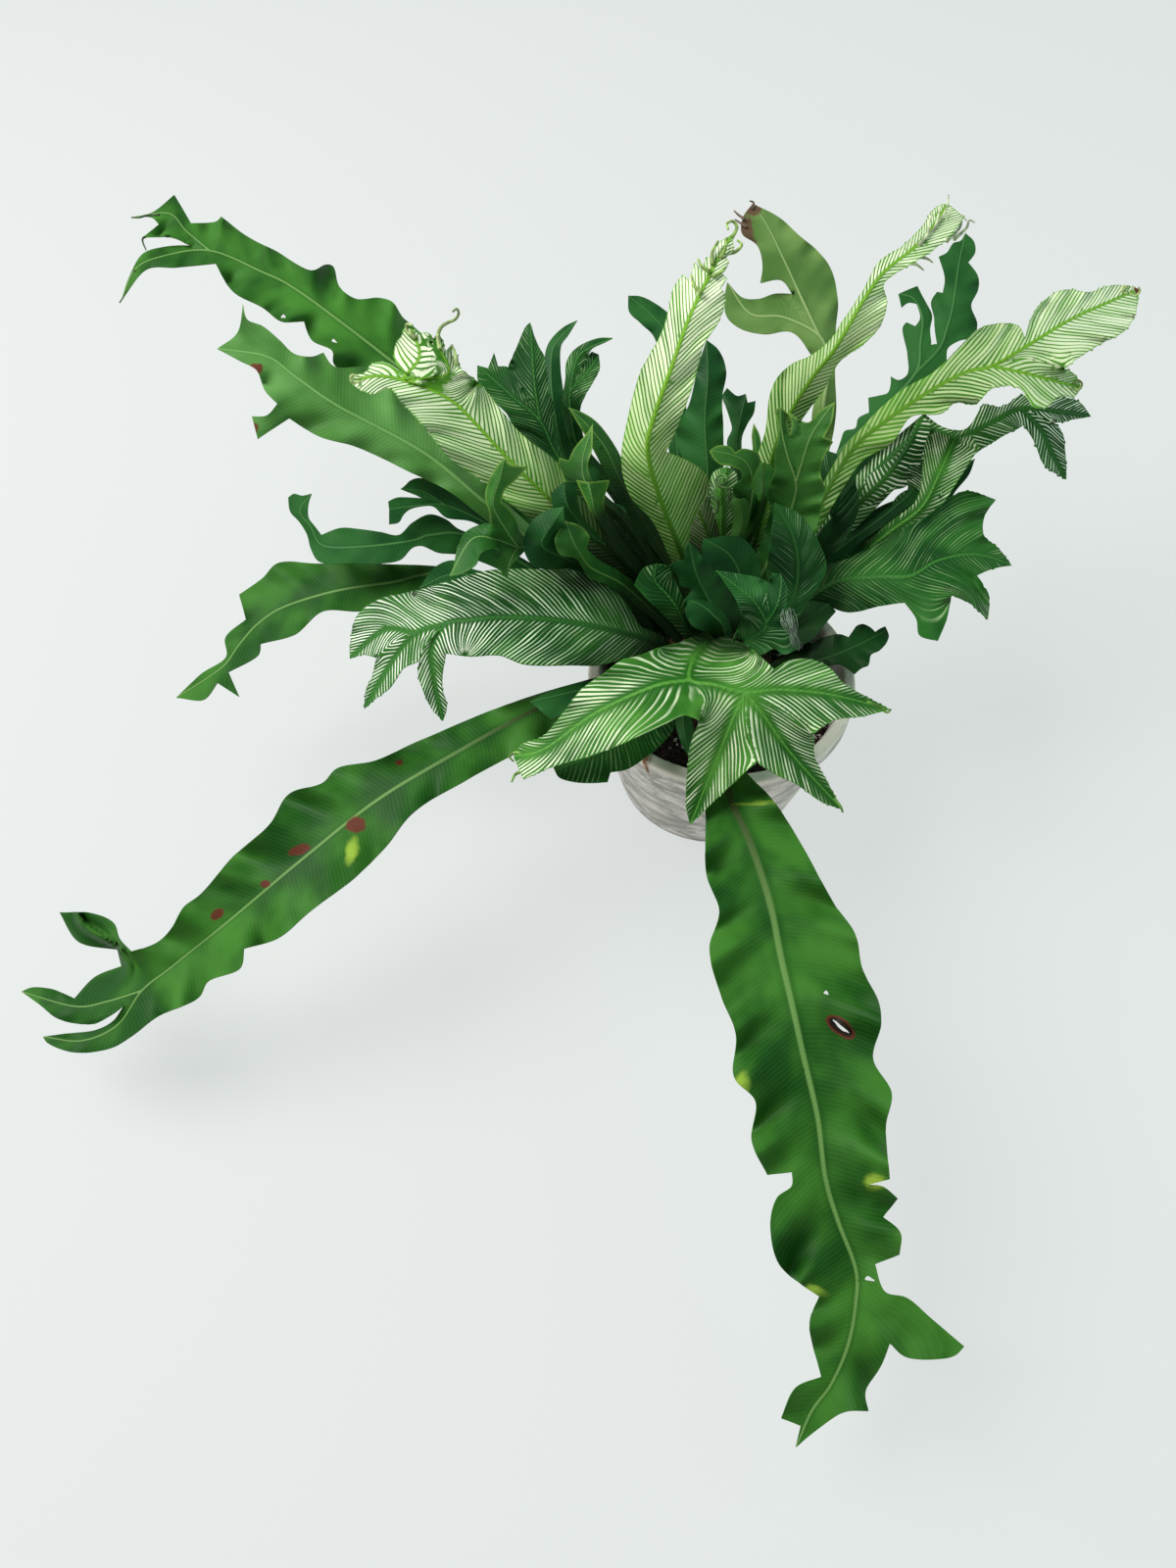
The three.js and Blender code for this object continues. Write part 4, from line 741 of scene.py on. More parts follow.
def grow(name, finish, root, ribs, edges, pace=1.0, lean=(0.4, 0.4), waves=(1.0, 14), cup=0.0,
         rib=0.8, fray=0.0, foot=(22, 78), holes=(), rust=(), yellow=(), alone=False):
    """One frond: its thin blade with both faces, and the numbers that its finish reads. Root is its turn
    and ring on the crown, pace how wide its streaks are against the usual, lean how far its side veins lean
    forward, waves how high and long its margin waves are, fray how far its teeth stand out, and foot where
    its dark foot fades, a darkening that is partly the stalk's own dark base and partly painted shade deep
    in the crown. Holes, rust and yellow are marks in the picture, and a frond alone has no solid of its
    own."""
    draw = random.Random(name)
    turn, ring = math.radians(root[0]), root[1]
    base_point = np.array([CROWN_MIDDLE[0] + ROOT_RINGS[ring] * math.cos(turn),
                           CROWN_MIDDLE[1] + ROOT_RINGS[ring] * math.sin(turn),
                           TERRACE_TOPS[ring] + FOOT_GAP])
    chains = lay_ribs(ribs, base_point)
    net_points, net_height, net_vein, net_kind, net_edges = [], [], [], [], []

    def put(places, heights, veins, kind):
        """Adds a line to the net and returns the numbers of its points."""
        first = len(net_points)
        net_points.extend(places)
        net_height.extend(heights)
        net_vein.extend(veins)
        net_kind.extend([kind] * len(places))
        numbers = list(range(first, first + len(places)))
        if kind != "loose":
            net_edges.extend(zip(numbers, numbers[1:]))
        return numbers

    for chain in chains:
        own = slice(chain["base"], None)
        put(chain["line"][own, :2], chain["line"][own, 2], chain["run"][own], "rib")

    # The outline, one side after another, with the height and the vein that each point has
    outline, levels, veins = [], [], []

    def follow(edge, line, run, side_heights, keep, side):
        """The part of a smooth edge after its first keep points, with its heights and veins."""
        edge = np.asarray(edge, float)
        at_rib = match(line, edge, HEIGHT_LEAN)
        heights = on_line(line, at_rib)[:, 2] + side_heights
        smooth, at = bend_through(edge, LINE_STEP, even=False, corners=True)
        level = np.interp(at, np.arange(len(edge)), heights)
        off, near = nearest_on(line, smooth)
        size = PICTURE_REACH / ((sight(smooth[:, 0], smooth[:, 1], level) - EYE) @ AHEAD)
        vein = on_line(run, near)
        far = vein / run[-1]
        vein = vein - lean[0 if side > 0 else 1] * (LEAN_START + far) * off / size
        vein = np.maximum.accumulate(np.maximum(vein, 0))
        if fray:
            away = smooth - on_line(line[:, :2], near)
            away /= np.maximum(np.linalg.norm(away, axis=1), 1)[:, None]
            tooth = np.array([max(0, draw.uniform(-0.6, 1)) * (i % 2) for i in range(len(smooth))])
            tooth[[0, -1]] = 0
            smooth = smooth + away * (tooth * fray * np.clip(far * 2.5 - 1.2, 0, 1))[:, None]
        late = at >= keep
        return smooth[late], level[late], vein[late]

    def outer_side(chain, edge, side):
        """One whole side of the frond, from the foot of its stalk to the tip of a rib."""
        line = chain["line"]
        aside = plot(base_point)[:2] + beside(line, 0, side)
        across = sight(aside[0], aside[1], base_point[2]) - base_point
        corner = plot(base_point + across / np.linalg.norm(across) * STALK_HALF_WIDTH)[:2]
        first = np.array([edge[0][:2]], float)
        off, near = nearest_on(line, first)
        marks = runs(line)
        reach = on_line(marks, near)[0]
        stalk = []
        for i in range(STALK_MARKS, len(line) - 1, STALK_MARKS):
            if marks[i] > reach * STALK_SHARE:
                break
            width = STALK_PICTURE_WIDTH + (off[0] - STALK_PICTURE_WIDTH) * marks[i] / reach
            stalk.append(line[i, :2] + beside(line, i, side) * width)
        whole = [corner, *stalk, *[np.array(p[:2], float) for p in edge], line[-1, :2]]
        lifts = [0] * (1 + len(stalk)) + [p[2] if len(p) > 2 else 0 for p in edge] + [0]
        return follow(whole, line, chain["run"], np.array(lifts, float), 0, side)

    def add_part(part, back):
        """Adds a part to the outline, from its far end back where asked."""
        for kept, more in zip((outline, levels, veins), part):
            kept.extend(more[::-1] if back else more)

    add_part(outer_side(chains[0], edges[0], 1), False)
    for i in range(1, len(chains)):
        base = chains[i]["base"]
        pair = [chains[i - 1], chains[i]]
        origin = chains[i]["line"][base, :2]
        seam = np.array([p[:2] for p in edges[i]["fold"]], float).reshape(-1, 2)
        seam_lift = [p[2] if len(p) > 2 else 0 for p in edges[i]["fold"]]
        seam_level = np.zeros(len(seam))
        for chain in pair:
            if len(seam):
                near = nearest_on(chain["line"][base:], seam)[1]
                seam_level += on_line(chain["line"][base:], near)[:, 2] / 2
        seam_level = seam_level + seam_lift
        for which, key, side in ((0, "left", -1), (1, "right", 1)):
            chain = pair[which]
            line, run = chain["line"][base:], chain["run"][base:]
            own = [np.array(p[:2], float) for p in edges[i][key]]
            whole = [origin, *seam, *own, line[-1, :2]]
            lifts = [0] * (1 + len(seam)) + [p[2] if len(p) > 2 else 0 for p in edges[i][key]] + [0]
            part = follow(whole, line, run, np.array(lifts, float), len(seam), side)
            if len(seam):
                part[1][0] = seam_level[-1]
            add_part(part, which == 0)
        if len(seam):
            marks = [np.array([*origin, chains[i]["line"][base, 2]])]
            marks += [np.array([*p, h]) for p, h in zip(seam, seam_level)]
            cut, _ = bend_through(marks, LINE_STEP, even=False)
            seam_vein = np.zeros(len(cut))
            for chain in pair:
                off, near = nearest_on(chain["line"][base:], cut)
                at_rib = on_line(chain["run"][base:], near)
                bend = LEAN_START + at_rib / chain["run"][-1]
                seam_vein += (at_rib - min(lean) * bend * off * SEAM_SHARE) / 2
            seam_vein = np.maximum(seam_vein, chains[i]["run"][base])
            put(cut[1:-1, :2], cut[1:-1, 2], seam_vein[1:-1], "seam")
    add_part(outer_side(chains[-1], edges[-1], -1), True)

    outline = np.array(outline)
    keep = np.linalg.norm(outline - np.roll(outline, 1, axis=0), axis=1) > 0.05
    outline, levels, veins = outline[keep], np.array(levels)[keep], np.array(veins)[keep]
    numbers = put(outline, levels, veins, "edge")
    net_edges.append((numbers[-1], numbers[0]))
    loops = [outline]
    for hole in holes:
        loops.append(cut_hole(*hole))
        numbers = put(loops[-1], [0] * HOLE_POINTS, [0] * HOLE_POINTS, "hole")
        net_edges.append((numbers[-1], numbers[0]))
    loose = loose_places(chains, outline, loops)
    put(loose, [0] * len(loose), [0] * len(loose), "loose")

    # Every point takes its height and vein from its nearest rib, and the rest of the blade settles
    places, cells, source = cut_net(net_points, net_edges, loops)
    kinds = np.array([net_kind[s] if s >= 0 else "loose" for s in source])
    fixed = np.isin(kinds, ("rib", "edge", "seam"))
    offs = []
    for chain in chains:
        off, near = nearest_on(chain["line"], places)
        offs.append((off, on_line(chain["line"][:, 2], near), on_line(chain["run"], near), near))
    closest = np.argmin([o[0] for o in offs], axis=0)
    rows = np.arange(len(places))
    out_px, height, vein = (np.array([o[k] for o in offs])[closest, rows] for k in range(3))
    share = vein / max(chain["run"][-1] for chain in chains)
    ahead, origin = [], []
    for k, c in enumerate(closest):
        line, at = chains[c]["line"], int(offs[c][3][k])
        ahead.append(line[min(at + 1, len(line) - 1), :2] - line[at, :2])
        origin.append(line[at, :2])
    ahead, to = np.array(ahead), places - np.array(origin)
    side = (ahead[:, 0] * to[:, 1] - ahead[:, 1] * to[:, 0] > 0).astype(float)
    known = fixed & (source >= 0)
    height[known] = np.array(net_height, float)[source[known]]
    vein[known] = np.array(net_vein, float)[source[known]]
    settle([height, vein], fixed, cells, places)

    # Heights: a fold or arch across the blade and an uneven wave that grows towards the margin
    rim_px = nearest_on(np.vstack([outline, outline[:1]]), places)[0]
    scale = PICTURE_REACH / ((sight(places[:, 0], places[:, 1], height) - EYE) @ AHEAD)
    out, rim = out_px / scale, rim_px / scale
    reach = out / np.maximum(out + rim, 0.3)
    half_width = out + rim
    tall, length = waves
    swing = np.where(side > 0.5, wave(vein, length, draw), wave(vein, length * 1.13, draw))
    swing = swing * np.minimum(1, half_width / FULL_WAVE_WIDTH) * np.minimum(1, vein / FULL_WAVE_RUN)
    height = height + tall * reach**WAVE_CURVE * swing + cup * half_width * reach**CUP_CURVE
    middle = sight(places[:, 0], places[:, 1], height)

    # Both faces, thicker along the rib and towards the stalk
    corners = middle[cells]
    facing = np.cross(corners[:, 1] - corners[:, 0], corners[:, 2] - corners[:, 0])
    if (facing @ -AHEAD).sum() < 0:
        cells = cells[:, ::-1]
        facing = -facing
    normal = np.zeros_like(middle)
    for k in range(3):
        np.add.at(normal, cells[:, k], facing)
    normal /= np.maximum(np.linalg.norm(normal, axis=1), 1e-9)[:, None]
    streak, clear = streak_places(chains, vein, cells, corners)
    rib_half = rib * (RIB_TAPER[0] - RIB_TAPER[1] * share)
    ridge = np.exp(-((out / rib_half) ** 2)) * rib_half
    near_foot = 1 - np.minimum(1, np.linalg.norm(middle - base_point, axis=1) / STALK_LENGTH)
    half = BLADE_HALF + (STALK_HALF - BLADE_HALF) * near_foot**2
    upper = middle + normal * (half + RIB_ABOVE * ridge)[:, None]
    lower = middle - normal * (half + RIB_BELOW * ridge)[:, None]
    count = len(middle)
    pairs = np.concatenate([cells[:, [0, 1]], cells[:, [1, 2]], cells[:, [2, 0]]])
    codes = pairs[:, 0] * count + pairs[:, 1]
    back = pairs[:, 1] * count + pairs[:, 0]
    rim_pairs = pairs[~np.isin(codes, back)]
    faces = [tuple(c) for c in cells.tolist()]
    faces += [(a + count, c + count, b + count) for a, b, c in cells.tolist()]
    faces += [(b, a, a + count, b + count) for a, b in rim_pairs.tolist()]
    points = np.vstack([upper, lower])
    blade = mesh_piece(name + "_blade", points, faces, *finish, [] if alone else [name])
    burnt = [(x, y, wide + 2.5, tall + 4, tilt) for x, y, wide, tall, tilt in holes if wide > 5]
    kept = {
        "vein": vein,
        "streak": streak / pace,
        "clear": clear,
        "out": out,
        "rim": rim,
        "rib": out / rib_half,
        "side": side,
        "share": share,
        # How dark the foot is painted at each point: partly the stalk's own dark base, partly painted shade
        # deep in the crown.
        "foot": np.clip((foot[1] - vein) / (foot[1] - foot[0]), 0, 1),
        "rust": marked(places, rust) + 2 * marked(places, burnt),
        "yellow": marked(places, yellow),
        "seed": np.full(count, draw.uniform(0, 90)),
    }
    keep_numbers(blade.data, kept, rim_pairs)


VEIN_STEP = 2.1
# Near-black green that the foot fades to: partly the stalk's own colour, partly painted shade in the crown.
STALK_AND_SHADE_TONE = (0.006, 0.020, 0.005)
RUST_TONE = (0.125, 0.024, 0.014)
CHAR_TONE = (0.020, 0.009, 0.006)
BROWN_TONE = (0.12, 0.062, 0.040)
YELLOW_TONE = (0.30, 0.46, 0.05)


def aged(leaf, body, rust_tone=RUST_TONE):
    """Adds what every frond has: a dark foot, which is partly the stalk's own dark base and partly painted
    shade deep in the crown, rusty marks and yellowed patches.
    """
    torn = leaf.sum("MULTIPLY", leaf.cloud(leaf.place(), 190, 3), 0.9)
    yellow = leaf.sum("ADD", leaf.kept("yellow"), torn)
    body = leaf.blend(leaf.spread(yellow, 0.6, 1.5, 0, 0.9), body, YELLOW_TONE)
    rust = leaf.sum("ADD", leaf.kept("rust"), torn)
    rust_tone = leaf.blend(leaf.spread(rust, 1.5, 1.9), rust_tone, CHAR_TONE)
    body = leaf.blend(leaf.spread(rust, 0.75, 1.15, 0, 0.95), body, rust_tone)
    # The dark foot: partly the stalk's own dark base, partly painted shade deep in the crown.
    return leaf.blend(leaf.spread(leaf.kept("foot"), 0, 1, 0, 0.92), body, STALK_AND_SHADE_TONE)


def leaf_finish(name, deep, light, rib_tone, under_tone, gloss=0.52, rim_tone=None,
                rust_tone=RUST_TONE, rib_foot=None):
    """A plain blade: mottled green with fine side veins, a paler rib with painted groove shade beside it,
    and a duller underside.
    """
    leaf = Recipe(name, gloss, 0.15)
    vein, out, rim, rib = (leaf.kept(label) for label in ("vein", "out", "rim", "rib"))
    seed = leaf.sum("ADD", leaf.kept("seed"), leaf.sum("MULTIPLY", leaf.kept("side"), 7.3))
    broad = leaf.add("CombineXYZ", {0: vein, 1: leaf.sum("MULTIPLY", out, 0.9), 2: seed})
    band = leaf.cloud(broad.outputs[0], 0.045, 2)
    patch = leaf.cloud(leaf.place(), 17, 3)
    tone = leaf.sum("ADD", leaf.sum("MULTIPLY", patch, 0.6), leaf.sum("MULTIPLY", band, 0.4))
    body = leaf.blend(leaf.spread(tone, 0.38, 0.62), deep, light)
    bright = tuple(min(1, c * 1.5) for c in light)
    bent = leaf.sum("MULTIPLY_ADD", band, 3.0, vein)
    pleat = leaf.sum("SINE", leaf.sum("MULTIPLY", bent, 2 * math.pi / VEIN_STEP))
    body = leaf.blend(leaf.spread(pleat, 0.3, 1.0, 0, 0.10), body, bright)
    # Painted shade of the groove along the rib: a darker green band beside it.
    body = leaf.blend(leaf.spread(rib, 1.0, 2.6, 0.35, 0), body, deep)
    if rim_tone:
        far = leaf.spread(leaf.sum("ADD", leaf.kept("share"), patch), 1.2, 1.5)
        near_rim = leaf.spread(rim, 0.2, 1.2, 0.5, 0)
        body = leaf.blend(leaf.sum("MULTIPLY", far, near_rim), body, rim_tone)
    if rib_foot:
        rib_tone = leaf.blend(leaf.spread(vein, 70, 190), rib_foot, rib_tone)
    body = leaf.blend(leaf.spread(rib, 0.35, 0.95, 0.85, 0), body, rib_tone)
    body = leaf.blend(leaf.sum("MULTIPLY", leaf.kept("under"), 0.6), body, under_tone)
    leaf.colour(aged(leaf, body, rust_tone))
    leaf.roughness(leaf.spread(patch, 0.35, 0.65, gloss - 0.06, gloss + 0.1))
    leaf.relief(leaf.sum("MULTIPLY_ADD", pleat, 0.08, leaf.sum("MULTIPLY", band, 1.2)), 0.0003)
    return leaf.material, name


PLAIN = leaf_finish(
    "plain_green_leaf",
    deep=(0.007, 0.064, 0.005),
    light=(0.048, 0.192, 0.021),
    rib_tone=(0.17, 0.33, 0.09),
    under_tone=(0.07, 0.17, 0.05),
    gloss=0.58,
    rib_foot=(0.040, 0.042, 0.018),
)
FRESH = leaf_finish(
    "fresh_green_leaf",
    deep=(0.050, 0.170, 0.028),
    light=(0.112, 0.292, 0.070),
    rib_tone=(0.20, 0.40, 0.12),
    under_tone=(0.10, 0.22, 0.07),
)
DARK = leaf_finish(
    "dark_green_leaf",
    deep=(0.006, 0.058, 0.012),
    light=(0.024, 0.125, 0.024),
    rib_tone=(0.075, 0.22, 0.06),
    under_tone=(0.04, 0.11, 0.045),
)
YOUNG = leaf_finish(
    "young_yellow_green_leaf",
    deep=(0.018, 0.105, 0.016),
    light=(0.062, 0.220, 0.034),
    rib_tone=(0.20, 0.38, 0.10),
    under_tone=(0.13, 0.27, 0.08),
    rim_tone=(0.30, 0.50, 0.08),
)
PALE = leaf_finish(
    "pale_ageing_leaf",
    deep=(0.075, 0.170, 0.036),
    light=(0.160, 0.280, 0.075),
    rib_tone=(0.30, 0.42, 0.17),
    under_tone=(0.10, 0.20, 0.06),
    gloss=0.6,
    rust_tone=BROWN_TONE,
)

grow(
    "frond_front_long", PLAIN, root=(-98, 4), waves=(8.0, 29), cup=0.05, rib=2.5,
    holes=[(843, 1013, 2.6, 2, 0.6), (858, 1048, 10, 1.7, 0.7), (887, 1305, 5, 2, 0.3)],
    rust=[(858, 1048, 15, 7, 0.6)],
    yellow=[(772, 820, 22, 2.2, -0.08), (757, 1108, 8, 14, 0.3), (893, 1206, 12, 8, 0),
        (833, 1317, 12, 5, 0.3)],
    ribs=[(0, [(727, 742, 113), (744, 811, 117), (766, 862, 116), (785, 920, 114), (797, 978, 111),
        (810, 1034, 107), (819, 1075, 103), (834, 1140, 95), (842, 1202, 87), (855, 1246, 80),
        (873, 1295, 72), (873, 1330, 67), (865, 1373, 60), (848, 1412, 54), (828, 1440, 49),
        (812, 1477, 42)])],
    edges=[
        [(761, 787), (790, 818), (819, 864), (851, 922), (873, 954), (880, 988), (897, 1024), (899, 1046),
         (891, 1080), (910, 1116), (904, 1149), (908, 1203), (886, 1209), (901, 1211), (916, 1223),
         (901, 1242), (919, 1258), (918, 1280), (893, 1290), (903, 1318), (925, 1324), (950, 1345),
         (984, 1374), (973, 1384), (925, 1385), (908, 1371), (899, 1394), (883, 1420), (886, 1440),
         (862, 1441), (835, 1458)],
        [(720, 833), (721, 893), (734, 930), (724, 968), (736, 1017), (751, 1056), (749, 1099), (771, 1124),
         (767, 1164), (783, 1199), (808, 1196), (808, 1210), (793, 1222), (786, 1250), (795, 1290),
         (818, 1311), (836, 1323), (826, 1350), (838, 1405), (812, 1416), (797, 1447), (817, 1455)],
    ],
)
grow(
    "frond_left_long", PLAIN, root=(209, 4), waves=(8.0, 32), cup=0.05, rib=1.3, foot=(30, 130),
    rust=[(363, 842, 10, 9, 0), (306, 867, 12, 5, -0.3), (271, 902, 5, 4, 0), (222, 933, 8, 5, -0.5),
        (408, 778, 4, 3, 0)],
    yellow=[(359, 868, 6, 14, 0.2)],
    ribs=[
        (0, [(640, 693, 104), (592, 707, 117), (543, 726, 124), (459, 772, 124), (383, 818, 117),
            (306, 879, 104), (237, 937, 88), (176, 986, 72), (145, 1011, 63), (120, 1046, 54),
            (84, 1062, 47), (44, 1058, 40)]),
        (8, [(110, 1022, 56), (76, 1027, 50), (22, 1012, 42)]),
    ],
    edges=[
        [(580, 738), (528, 768), (478, 795), (421, 830), (394, 864), (363, 895), (318, 929), (283, 958),
         (249, 968), (245, 988), (212, 1002), (203, 1018), (160, 1038), (135, 1057), (112, 1070),
         (76, 1074), (48, 1064)],
        {"fold": [(127, 1026)],
         "left": [(115, 1042), (98, 1051), (64, 1055)],
         "right": [(110, 1038), (95, 1045), (60, 1040), (40, 1025)]},
        [(595, 695), (517, 719), (421, 759), (383, 776), (344, 784), (329, 799), (295, 810), (275, 841),
         (237, 875), (205, 912), (187, 926), (175, 947), (160, 962), (134, 971), (122, 958), (116, 942),
         (95, 932), (61, 931), (80, 961), (120, 969), (124, 986), (97, 997), (76, 1019), (52, 1009),
         (31, 1008)],
    ],
)
grow(
    "frond_upper_left_long", PLAIN, root=(143, 4), waves=(6.5, 30), rib=1.4,
    holes=[(289, 323, 2.4, 2, 0), (341, 348, 3, 1.6, 0.6)],
    ribs=[
        (0, [(652, 612, 101), (570, 545, 120), (500, 462, 144), (450, 410, 163), (406, 374, 176),
            (344, 326, 190), (298, 293, 196), (268, 278, 198), (214, 256, 200), (165, 262, 198),
            (138, 275, 196), (124, 306, 190)]),
        (8, [(190, 236, 204), (172, 218, 206), (134, 222, 206)]),
    ],
    edges=[
        [(470, 470), (400, 410), (341, 372), (339, 358), (318, 347), (310, 328), (287, 328), (268, 314),
         (237, 297), (220, 269), (180, 273), (150, 275)],
        {"fold": [(195, 251)],
         "left": [(168, 252), (146, 259), (133, 280)],
         "right": [(177, 243), (146, 242), (162, 229), (155, 222)]},
        [(490, 400), (423, 334), (411, 324), (400, 308), (386, 304), (363, 305), (346, 292), (340, 272),
         (332, 270), (318, 276), (281, 256), (250, 240), (226, 221), (221, 226), (195, 228), (178, 199),
         (155, 217)],
    ],
)
grow(
    "frond_left_second", FRESH, root=(152, 4), waves=(5.0, 30), rib=1.3,
    rust=[(262, 376, 7, 5, 0), (258, 437, 6, 6, 0)],
    ribs=[(0, [(652, 622, 106), (580, 583, 132), (494, 512, 168), (432, 462, 184), (344, 414, 203),
        (302, 385, 210), (272, 364, 213), (222, 356, 214)])],
    edges=[
        [(459, 502), (421, 483), (363, 456), (325, 445), (295, 427), (263, 448), (257, 425), (272, 424),
         (283, 412), (270, 398), (262, 378), (244, 368)],
        [(497, 496), (471, 475), (440, 445), (406, 399), (379, 376), (341, 374), (330, 360), (318, 364),
         (300, 361), (285, 347), (268, 333), (252, 326), (248, 310), (242, 340)],
    ],
)
grow(
    "frond_left_low", PLAIN, root=(184, 4), waves=(5.0, 28), rib=1.3,
    ribs=[(0, [(640, 660, 102), (560, 618, 117), (480, 594, 126), (440, 586, 129), (402, 594, 128),
        (344, 603, 121), (291, 619, 111), (264, 636, 104), (245, 657, 96), (230, 678, 89), (210, 693, 82),
        (180, 712, 74)])],
    edges=[
        [(430, 618), (367, 624), (329, 624), (302, 647), (266, 657), (264, 668), (233, 686), (244, 711),
         (222, 697), (208, 714)],
        [(432, 577), (400, 576), (363, 574), (325, 575), (283, 575), (268, 590), (244, 607), (251, 632),
         (230, 651), (231, 670), (205, 688)],
    ],
)
grow(
    "frond_left_curled", DARK, root=(174, 4), waves=(2.0, 30), rib=1.2,
    ribs=[(0, [(560, 592, 118), (480, 548, 140), (440, 546, 146), (420, 552, 147), (370, 558, 149),
        (330, 557, 147), (317, 538, 146), (306, 521, 146), (318, 504, 146)])],
    edges=[
        [(468, 566), (447, 564), (430, 557), (421, 559), (409, 571), (388, 575), (359, 575), (334, 575),
         (324, 572), (317, 560), (313, 545), (305, 532), (296, 522), (294, 508), (300, 504), (308, 506)],
        [(468, 540), (455, 530), (438, 525), (420, 534), (407, 546), (388, 543), (367, 540), (347, 539),
         (328, 546), (322, 538), (315, 528), (315, 514)],
    ],
)

# Back fronds: a pale old one that shows its underside, and two dark ones behind the striped ones.
# They stand up behind the crown and lean away from the eye.
grow(
    "frond_back_pale", PALE, root=(68, 4), waves=(2.5, 26), rib=1.4,
    rust=[(768, 212, 9, 8, 0.6), (760, 236, 8, 16, 0), (771, 268, 5, 22, -0.1), (776, 296, 9, 5, 0)],
    ribs=[
        (0, [(762, 580, 100), (800, 520, 120), (836, 455, 146), (841, 409, 170), (845, 373, 180),
            (836, 343, 187), (800, 324, 188), (765, 320, 186), (742, 288, 186)]),
        (5, [(819, 307, 194), (799, 264, 200), (784, 233, 203), (768, 208, 205)]),
    ],
    edges=[
        [(829, 420), (836, 385), (826, 360), (808, 339), (780, 341), (755, 335), (741, 322), (740, 300)],
        {"fold": [(818, 322), (808, 300)],
         "left": [(790, 300), (775, 305), (758, 304)],
         "right": [(797, 286), (776, 289), (778, 270), (773, 251), (757, 238), (758, 222)]},
        [(853, 420), (852, 385), (853, 333), (855, 307), (848, 275), (835, 257), (815, 240), (795, 222)],
    ],
)
grow(
    "frond_back_dark", DARK, root=(55, 4), waves=(2.5, 24), rib=1.3,
    ribs=[
        (0, [(775, 580, 110), (820, 510, 137), (855, 463, 153), (899, 419, 174), (934, 381, 186),
            (939, 350, 193), (941, 324, 199), (932, 305, 202), (917, 300, 204)]),
        (4, [(958, 356, 193), (966, 335, 198), (972, 312, 203), (978, 271, 210), (985, 238, 214)]),
    ],
    edges=[
        [(852, 466), (858, 450), (862, 440), (873, 437), (876, 427), (887, 421), (886, 406), (896, 404),
         (906, 401), (909, 392), (909, 384), (917, 388), (926, 382), (926, 362), (921, 334), (925, 329),
         (934, 333), (939, 325), (936, 310), (927, 309), (920, 314)],
        {"fold": [(946, 366), (950, 352)],
         "left": [(949, 336), (951, 322), (946, 311), (941, 302), (936, 292), (926, 296)],
         "right": [(956, 351), (954, 338), (953, 324), (950, 308), (956, 298), (962, 299), (964, 284),
             (958, 262), (966, 258), (973, 248), (980, 246)]},
        [(880, 455), (930, 410), (950, 390), (965, 372), (967, 356), (978, 348), (994, 343), (997, 330),
         (991, 312), (998, 296), (998, 282), (988, 268), (995, 258), (994, 247)],
    ],
)
grow(
    "frond_right_behind", DARK, root=(20, 4), waves=(2.0, 24), rib=1.1,
    ribs=[(0, [(795, 636, 97), (828, 606, 104), (866, 568, 118), (909, 542, 128), (935, 526, 132),
        (953, 510, 134)])],
    edges=[
        [(850, 556), (875, 532), (900, 516), (925, 508)],
        [(870, 585), (905, 572), (940, 556), (955, 535)],
    ],
)


